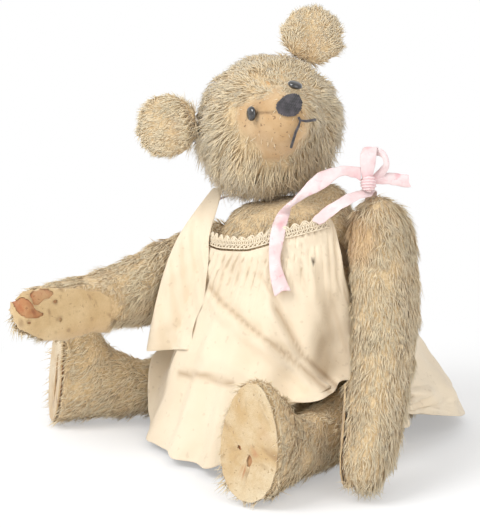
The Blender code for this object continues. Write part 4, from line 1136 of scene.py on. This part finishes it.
def makePanel():
    piece = makeSheet("right_shoulder_panel", "shoulderPanel", "torso", cottonMaterial)
    places = placesOf(piece)
    x, y, _ = inPicture(places)
    outerX = np.interp(y, panel["outerY"], panel["outerX"])
    innerX = np.interp(y, panel["outerY"], panel["innerX"])
    wide = np.interp(y, panel["outerY"], panel["widen"]) * np.clip((x - outerX) / (innerX - outerX), 0, 1)
    places = places + np.array(across) * (wide / view["scale"])[:, None]
    dressTree = treeOf([nodes["dress"]])
    for i, place in enumerate(places):
        line = (Vector(place) - eyePoint).normalized()
        hit = dressTree.ray_cast(eyePoint, line)[0]
        if hit and (hit - eyePoint).dot(line) < (Vector(place) - eyePoint).dot(line) + panel["clear"]:
            behind = (Vector(place) - eyePoint).dot(line) + panel["clear"] - (hit - eyePoint).dot(line)
            places[i] -= np.array(line) * min(behind, slip["pull"])
    push = 0.0011 * np.sin(x * 0.62 + 2.2 * np.sin(y * 0.02)) * stepBetween(y, 200, 240)
    push += 0.0006 * ripple(places, 0.02, 71)
    moveTo(piece, places - np.array(gaze) * push[:, None])


makePanel()
print("slip done")


# crocheted lace at the neckline

crochet = {"colour": (0.90, 0.79, 0.61), "shade": (0.70, 0.56, 0.37), "radius": 0.00062, "pitch": 0.0040,
           "cornerAt": (0, 0.35, 0.7, 1), "lowX": (272, 292, 312, 331), "lowY": (241, 237, 232, 227),
           "topX": (270, 290, 310, 330), "topY": (230, 225, 219, 213)}
laceMaterial = makeCottonMaterial("crochetCotton", crochet["colour"], crochet["shade"])


def laceEdges(nodeName):
    # lower and upper edge of a lace band, followed round the body
    tree = treeOf([nodes[nodeName]])
    low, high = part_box(nodeName)
    lower, upper = [], []
    points = placesOf(nodes[nodeName])
    angles = np.unwrap(np.sort(np.arctan2(points[:, 0], -points[:, 1])))
    if angles[-1] - angles[0] > math.pi:
        angles = np.sort(np.arctan2(points[:, 0], -points[:, 1]) % (2 * math.pi))
    for angle in np.linspace(angles[0] + 0.01, angles[-1] - 0.01, 130):
        direction = Vector((math.sin(angle), -math.cos(angle), 0))
        found = []
        for k in range(70):
            z = low.z + (high.z - low.z) * k / 69
            hit = tree.ray_cast(Vector((0, 0, z)) + direction * 0.25, -direction)[0]
            if hit and hit.dot(direction) > 0:
                found.append(hit)
        if len(found) > 3:
            lower.append(np.array(found[0]))
            upper.append(np.array(found[-1]))
    return np.array(lower), np.array(upper)


def smoothRow(row, rounds=3):
    for _ in range(rounds):
        row = np.concatenate([row[:1], (row[:-2] + 2 * row[1:-1] + row[2:]) / 4, row[-1:]])
    return row


def frontLaceEdges():
    # the neckline's lace goes on to the bow over the slip's widened corner
    cloth = treeOf([bpy.data.objects["slipDress"]])
    lower, upper = [], []
    depth = None
    for t in np.linspace(0, 1, 24):
        x1, y1, x2, y2 = [np.interp(t, crochet["cornerAt"], crochet[name])
                          for name in ("lowX", "lowY", "topX", "topY")]
        hit = cloth.ray_cast(eyePoint, (onPicture(x1, y1, 1.0) - eyePoint).normalized())[0]
        if hit:
            depth = (hit - eyePoint).dot(gaze) - 0.0016
        if depth:
            lower.append(np.array(onPicture(x1, y1, depth)))
            upper.append(np.array(onPicture(x2, y2, depth)))
    return np.array(lower), np.array(upper)


def makeLace(nodeName, pieceName):
    lower, upper = laceEdges(nodeName) if nodeName else frontLaceEdges()
    lower, upper = smoothRow(lower), smoothRow(upper)
    steps = np.concatenate([[0], np.cumsum(np.linalg.norm(np.diff(lower, axis=0), axis=1))])

    def spot(s, v, lift=0.0):
        place = np.array([np.interp(s, steps, lower[:, k]) * (1 - v) + np.interp(s, steps, upper[:, k]) * v
                          for k in range(3)])
        out = np.array((place[0], place[1], 0))
        return place + out / np.linalg.norm(out) * lift

    total = steps[-1]
    count = max(4, int(total / crochet["pitch"]))
    pitch = total / count
    paths = []
    for v, wave in ((0.04, 0.0002), (0.34, 0.0002), (0.62, 0.00025)):
        paths.append([spot(total * i / (count * 4), v, wave * math.sin(i * 2.1)) for i in range(count * 4 + 1)])
    for i in range(count):
        s = i * pitch
        paths.append([spot(s + pitch * t, v, 0.0003 * math.sin(t * 6.3)) for t, v in
                      ((0.0, 0.04), (0.2, 0.17), (0.5, 0.34), (0.8, 0.17), (1.0, 0.04))])
        for t in (0.2, 0.7):
            paths.append([spot(s + pitch * t, v, 0.0003) for v in (0.34, 0.48, 0.62)])
    for i in range(0, count - 1, 2):
        s = i * pitch
        for rise, inset in ((0.98, 0.0), (0.82, 0.22)):
            paths.append([spot(s + pitch * 2 * (inset + (1 - 2 * inset) * t),
                               0.62 + (rise - 0.62) * math.sin(math.pi * t),
                               0.0002 + 0.0004 * math.sin(math.pi * t)) for t in np.linspace(0, 1, 9)])
        for t in (0.3, 0.5, 0.7):
            paths.append([spot(s + pitch * (1.0 + (t - 0.5) * k), 0.62 + (0.94 - 0.62) * k, 0.0003)
                          for k in (0, 0.5, 1)])
    piece = tubeMesh(pieceName, paths, crochet["radius"], 5, False)
    for name in ("worn", "hole"):
        paint(piece, name, np.zeros(len(piece.data.vertices)))
    piece.data.materials.append(laceMaterial)
    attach(piece, "torso")
    if nodeName:
        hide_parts(nodeName)


makeLace("neckline_lace", "necklineLace")
makeLace("back_lace", "backLace")
makeLace(None, "bowSideLace")
print("lace done")


# silk ribbons and the bow on the left shoulder

# crease: the deeper pink of painted shade in the silk's creases
silk = {"colour": (0.78, 0.555, 0.555), "light": (0.82, 0.68, 0.675), "crease": (0.64, 0.20, 0.245), "ribs": 900.0}


def makeSilkMaterial():
    material, tree, shader = nodeMaterial("fadedSilk", Roughness=0.42, Sheen_Weight=0.3, Sheen_Roughness=0.35)
    shader.inputs["Specular IOR Level"].default_value = 0.45
    place = objectPlace(tree)
    stains = placeGroup(tree, stainGroup, Place=place, Spread=60.0, Specks=500.0)
    tone = mixColours(tree, stains.outputs["Broad"], silk["light"], silk["colour"])
    streaks = put(tree, "ShaderNodeTexNoise", Scale=130.0, Detail=3.0, Roughness=0.6, Distortion=1.5)
    tree.links.new(place, streaks.inputs["Vector"])
    # painted shade: streaks and marked creases take the deeper crease colour
    creaseShade = ranged(tree, streaks.outputs["Fac"], 0.60, 0.72)
    tone = mixColours(tree, maths(tree, "MULTIPLY", creaseShade, 0.35), tone, silk["crease"])
    tone = mixColours(tree, maths(tree, "MULTIPLY", attribute(tree, "creaseShade"), 0.7), tone, silk["crease"])
    tree.links.new(tone, shader.inputs["Base Color"])
    weave = placeGroup(tree, weaveGroup, Place=place, Threads=silk["ribs"])
    rough = maths(tree, "ADD", maths(tree, "MULTIPLY", weave.outputs["Height"], 0.3), streaks.outputs["Fac"])
    addBump(tree, shader, rough, 0.35, 0.0005)
    return material


silkMaterial = makeSilkMaterial()


def throughPoints(rows, steps):
    # a smooth run through rows of numbers, by a cubic through each four neighbours
    rows = np.array(rows, float)
    ends = np.vstack([2 * rows[0] - rows[1], rows, 2 * rows[-1] - rows[-2]])
    out = []
    for i in range(1, len(ends) - 2):
        a, b, c, d = ends[i - 1:i + 3]
        for k in range(steps):
            s = k / steps
            out.append(0.5 * (2 * b + (c - a) * s + (2 * a - 5 * b + 4 * c - d) * s * s
                              + (3 * b - a - 3 * c + d) * s ** 3))
    return np.array(out + [rows[-1]])


bow = {"thickness": 0.0005, "columns": 7, "crumple": 0.0005,
       "upright": ((362.5, 182, 371, 183, 0.000), (360.5, 168, 375, 167, -0.004), (360, 156, 376.5, 155, -0.005),
                   (363, 147, 377.5, 147.5, 0.000), (364, 149, 377, 150, 0.007), (363, 160, 375, 160, 0.010),
                   (364, 172, 373, 172, 0.009), (366, 181, 371, 181, 0.005)),
       "side": ((370, 149, 374, 155, 0.004), (380, 148, 379, 156, 0.000), (387.5, 155.5, 382.5, 159, -0.002),
                (389.5, 166, 383.5, 164.5, -0.001), (385, 174.5, 379, 168.5, 0.002), (375, 181, 371, 177, 0.003)),
       "short": ((371, 176, 372, 185, 0.003), (380, 173.5, 381, 184, 0.004), (392, 173, 392, 185.5, 0.005),
                 (402, 173.8, 402, 187, 0.004), (409.5, 175, 411.5, 187, 0.003)),
       "long": ((361, 167.5, 361, 181, -0.002), (352, 166, 351, 176.5, -0.004), (343, 165.8, 341, 176, -0.005),
                (333, 167.5, 331, 184, -0.004), (322, 170.8, 322, 190, -0.002), (312, 177.5, 312.5, 194.5, 0.0),
                (303, 186.7, 303.5, 199, 0.002), (295, 196.7, 297, 203, 0.002), (285.8, 204.8, 291.5, 207, 0.0),
                (276, 215, 290, 214.5, None), (271.5, 228, 286.5, 227, None), (269, 243, 283.5, 242.5, None),
                (268.8, 260, 280.5, 260, None), (270, 277, 286, 279, None), (274.5, 297.5, 291.5, 291, None))}


def pictureRibbon(pieceName, nodeName, stations, notch=0.0):
    # a ribbon given by its two edges in the picture and its distance before or behind the knot
    knotDepth = float((centreOf("bow_knot") - np.array(eyePoint)) @ np.array(gaze))
    below = treeOf([nodes[n] for n in ("torso", "dress", "head", "neckline_lace", "left_shoulder_ribbon")])
    rows = []
    for x1, y1, x2, y2, offset in stations:
        if offset is None:
            hits = [below.ray_cast(eyePoint, (onPicture(x, y, 1.0) - eyePoint).normalized())[0]
                    for x, y in ((x1, y1), (x2, y2), ((x1 + x2) / 2, (y1 + y2) / 2))]
            depths = [(hit - eyePoint).dot(gaze) for hit in hits if hit]
            offset = min(depths) - 0.004 - knotDepth
        rows.append((x1, y1, x2, y2, offset))
    rows = throughPoints(rows, 5)
    columns = bow["columns"]
    grid = []
    for i, (x1, y1, x2, y2, offset) in enumerate(rows):
        for k in range(columns):
            s = k / (columns - 1)
            back = notch * (1 - abs(2 * s - 1)) if i == len(rows) - 1 else 0
            previous = rows[max(i - 1, 0)]
            x = x1 + (x2 - x1) * s + (previous[0] - x1) * back
            y = y1 + (y2 - y1) * s + (previous[1] - y1) * back
            roll = 0.0012 * math.sin(math.pi * s)
            grid.append(onPicture(x, y, knotDepth + offset - roll))
    count = len(rows)
    faces = [(i * columns + k, i * columns + k + 1, (i + 1) * columns + k + 1, (i + 1) * columns + k)
             for i in range(count - 1) for k in range(columns - 1)]
    piece = newPiece(pieceName, grid, faces)
    useModifier(piece, "SOLIDIFY", thickness=bow["thickness"], offset=0.0)
    useModifier(piece, "SUBSURF", levels=1, render_levels=1)
    places = placesOf(piece)
    moveTo(piece, places + np.array((0.2, -0.3, 0.9)) * (bow["crumple"] * ripple(places, 0.010, 81))[:, None])
    faceOutward(piece)
    bpy.ops.object.shade_smooth()
    knot = np.array(centreOf("bow_knot"))
    near = np.linalg.norm(placesOf(piece) - knot, axis=1)
    # painted shade: random wrinkles and the ribbon near the knot darkened
    wrinkleShade = np.clip(ripple(placesOf(piece), 0.011, 83) - 0.9, 0, 1)
    paint(piece, "creaseShade", np.clip(wrinkleShade * 0.6 + 0.55 * np.exp(-(near / 0.010) ** 2), 0, 1))
    piece.data.materials.append(silkMaterial)
    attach(piece, "torso")
    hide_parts(nodeName)


ribbons = {"left_shoulder_ribbon": ("leftShoulderRibbon", (0.0115, 0.115)),
           "right_shoulder_ribbon": ("rightShoulderRibbon", (0.0115, 0.10))}


def makeRibbon(nodeName):
    title, flat = ribbons[nodeName]
    piece = makeSheet(nodeName, title, "torso", silkMaterial)
    places = placesOf(piece)
    crumple = 0.0005 * ripple(places, 0.009, 81)
    moveTo(piece, places + np.array((0, 0, 1.0)) * crumple[:, None])
    # painted shade in random creases
    paint(piece, "creaseShade", np.clip(ripple(places, 0.012, 83) - 1.0, 0, 1))


for ribbonName in ribbons:
    makeRibbon(ribbonName)
pictureRibbon("bowUprightLoop", "bow_upright_loop", bow["upright"])
pictureRibbon("bowSideLoop", "bow_side_loop", bow["side"])
pictureRibbon("bowShortTail", "bow_short_tail", bow["short"], 1.6)
pictureRibbon("bowLongTail", "bow_long_tail", bow["long"], 0.7)


def makeKnot():
    # the wrap of ribbon round the middle of the bow, pleated from side to side
    knot = copyNode("bow_knot", "bowKnot")
    useModifier(knot, "SUBSURF", levels=3, render_levels=3)
    places = placesOf(knot)
    middle = places.mean(0)
    aroundKnot = np.arctan2(places[:, 1] - middle[1], places[:, 0] - middle[0])
    pleat = 0.00045 * np.sin((places[:, 2] - middle[2]) * 2600 + 1.5 * np.sin(aroundKnot * 2))
    moveTo(knot, places + normalsOf(knot) * pleat[:, None])
    # painted shade in the grooves between the pleats
    paint(knot, "creaseShade", np.clip(pleat / -0.0005, 0, 1) * 0.7)
    knot.data.materials.append(silkMaterial)
    smoothShade(knot)
    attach(knot, "torso")
    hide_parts("bow_knot")


makeKnot()
print("ribbons done")


# card discs and steel pins inside the joints

def makePlain(name, dark, light, scale, **settings):
    material, tree, shader = nodeMaterial(name, **settings)
    grain = put(tree, "ShaderNodeTexNoise", Scale=scale, Detail=4.0)
    tree.links.new(objectPlace(tree), grain.inputs["Vector"])
    tree.links.new(mixColours(tree, grain.outputs["Fac"], dark, light), shader.inputs["Base Color"])
    addBump(tree, shader, grain.outputs["Fac"], 0.3, 0.0003)
    return material


cardMaterial = makePlain("pressedCard", (0.28, 0.19, 0.10), (0.46, 0.34, 0.21), 300.0, Roughness=0.85)
steelMaterial = makePlain("dullSteel", (0.30, 0.27, 0.24), (0.52, 0.50, 0.47), 500.0, Roughness=0.45, Metallic=1.0)
for nodeName in nodes:
    if nodeName.endswith(("disc", "pin")):
        giveMaterial(nodeName, cardMaterial if nodeName.endswith("disc") else steelMaterial)


# floor and light

studio = {"floor": 6.0, "floorColour": (0.93, 0.93, 0.93), "world": 0.72, "clearFrom": (0.16, 0.38), "lift": 0.35,
          "key": {"place": (-0.6, -1.7, 1.9), "size": 1.3, "power": 40},
          "fill": {"place": (1.8, -0.8, 1.0), "size": 1.8, "power": 14}}


def addLamp(name, settings):
    bpy.ops.object.light_add(type="AREA", location=settings["place"])
    lamp = bpy.context.object
    lamp.name = name
    lamp.data.size = settings["size"]
    lamp.data.energy = settings["power"]
    lamp.rotation_mode = "QUATERNION"
    lamp.rotation_quaternion = (Vector((0, 0, 0.15)) - Vector(settings["place"])).to_track_quat("-Z", "Y")


def addFloor():
    deselect()
    bpy.ops.mesh.primitive_grid_add(x_subdivisions=2, y_subdivisions=2, size=studio["floor"], location=(0, 0, -0.0002))
    floor = bpy.context.object
    floor.name = "studioFloor"
    floor.data.transform(floor.matrix_world)
    floor.matrix_world.identity()
    material, tree, shader = nodeMaterial("paperFloor", Roughness=0.9)
    shader.inputs["Base Color"].default_value = (*studio["floorColour"], 1)
    apart = tree.nodes.new("ShaderNodeVectorMath")
    apart.operation = "LENGTH"
    tree.links.new(objectPlace(tree), apart.inputs[0])
    far = ranged(tree, apart.outputs["Value"], *studio["clearFrom"])
    path = tree.nodes.new("ShaderNodeLightPath")
    glow = tree.nodes.new("ShaderNodeEmission")
    mixed = tree.nodes.new("ShaderNodeMixShader")
    tree.links.new(maths(tree, "MULTIPLY", path.outputs["Is Camera Ray"], maths(tree, "MAXIMUM", far, studio["lift"])),
                   mixed.inputs["Fac"])
    tree.links.new(shader.outputs["BSDF"], mixed.inputs[1])
    tree.links.new(glow.outputs["Emission"], mixed.inputs[2])
    tree.links.new(mixed.outputs["Shader"], tree.nodes["Material Output"].inputs["Surface"])
    floor.data.materials.append(material)


def lightWorld():
    world = bpy.data.worlds.new("softRoom")
    bpy.context.scene.world = world
    world.use_nodes = True
    tree = world.node_tree
    background = tree.nodes["Background"]
    background.inputs["Color"].default_value = (1, 1, 1, 1)
    path = tree.nodes.new("ShaderNodeLightPath")
    seen = maths(tree, "MAXIMUM", path.outputs["Is Camera Ray"], path.outputs["Is Glossy Ray"])
    strength = ranged(tree, seen, 0.0, 1.0, studio["world"], 1.0)
    tree.links.new(strength, background.inputs["Strength"])


addFloor()
addLamp("keyLight", studio["key"])
addLamp("fillLight", studio["fill"])
lightWorld()
bpy.context.scene.view_settings.view_transform = "Standard"

print("scene ready")
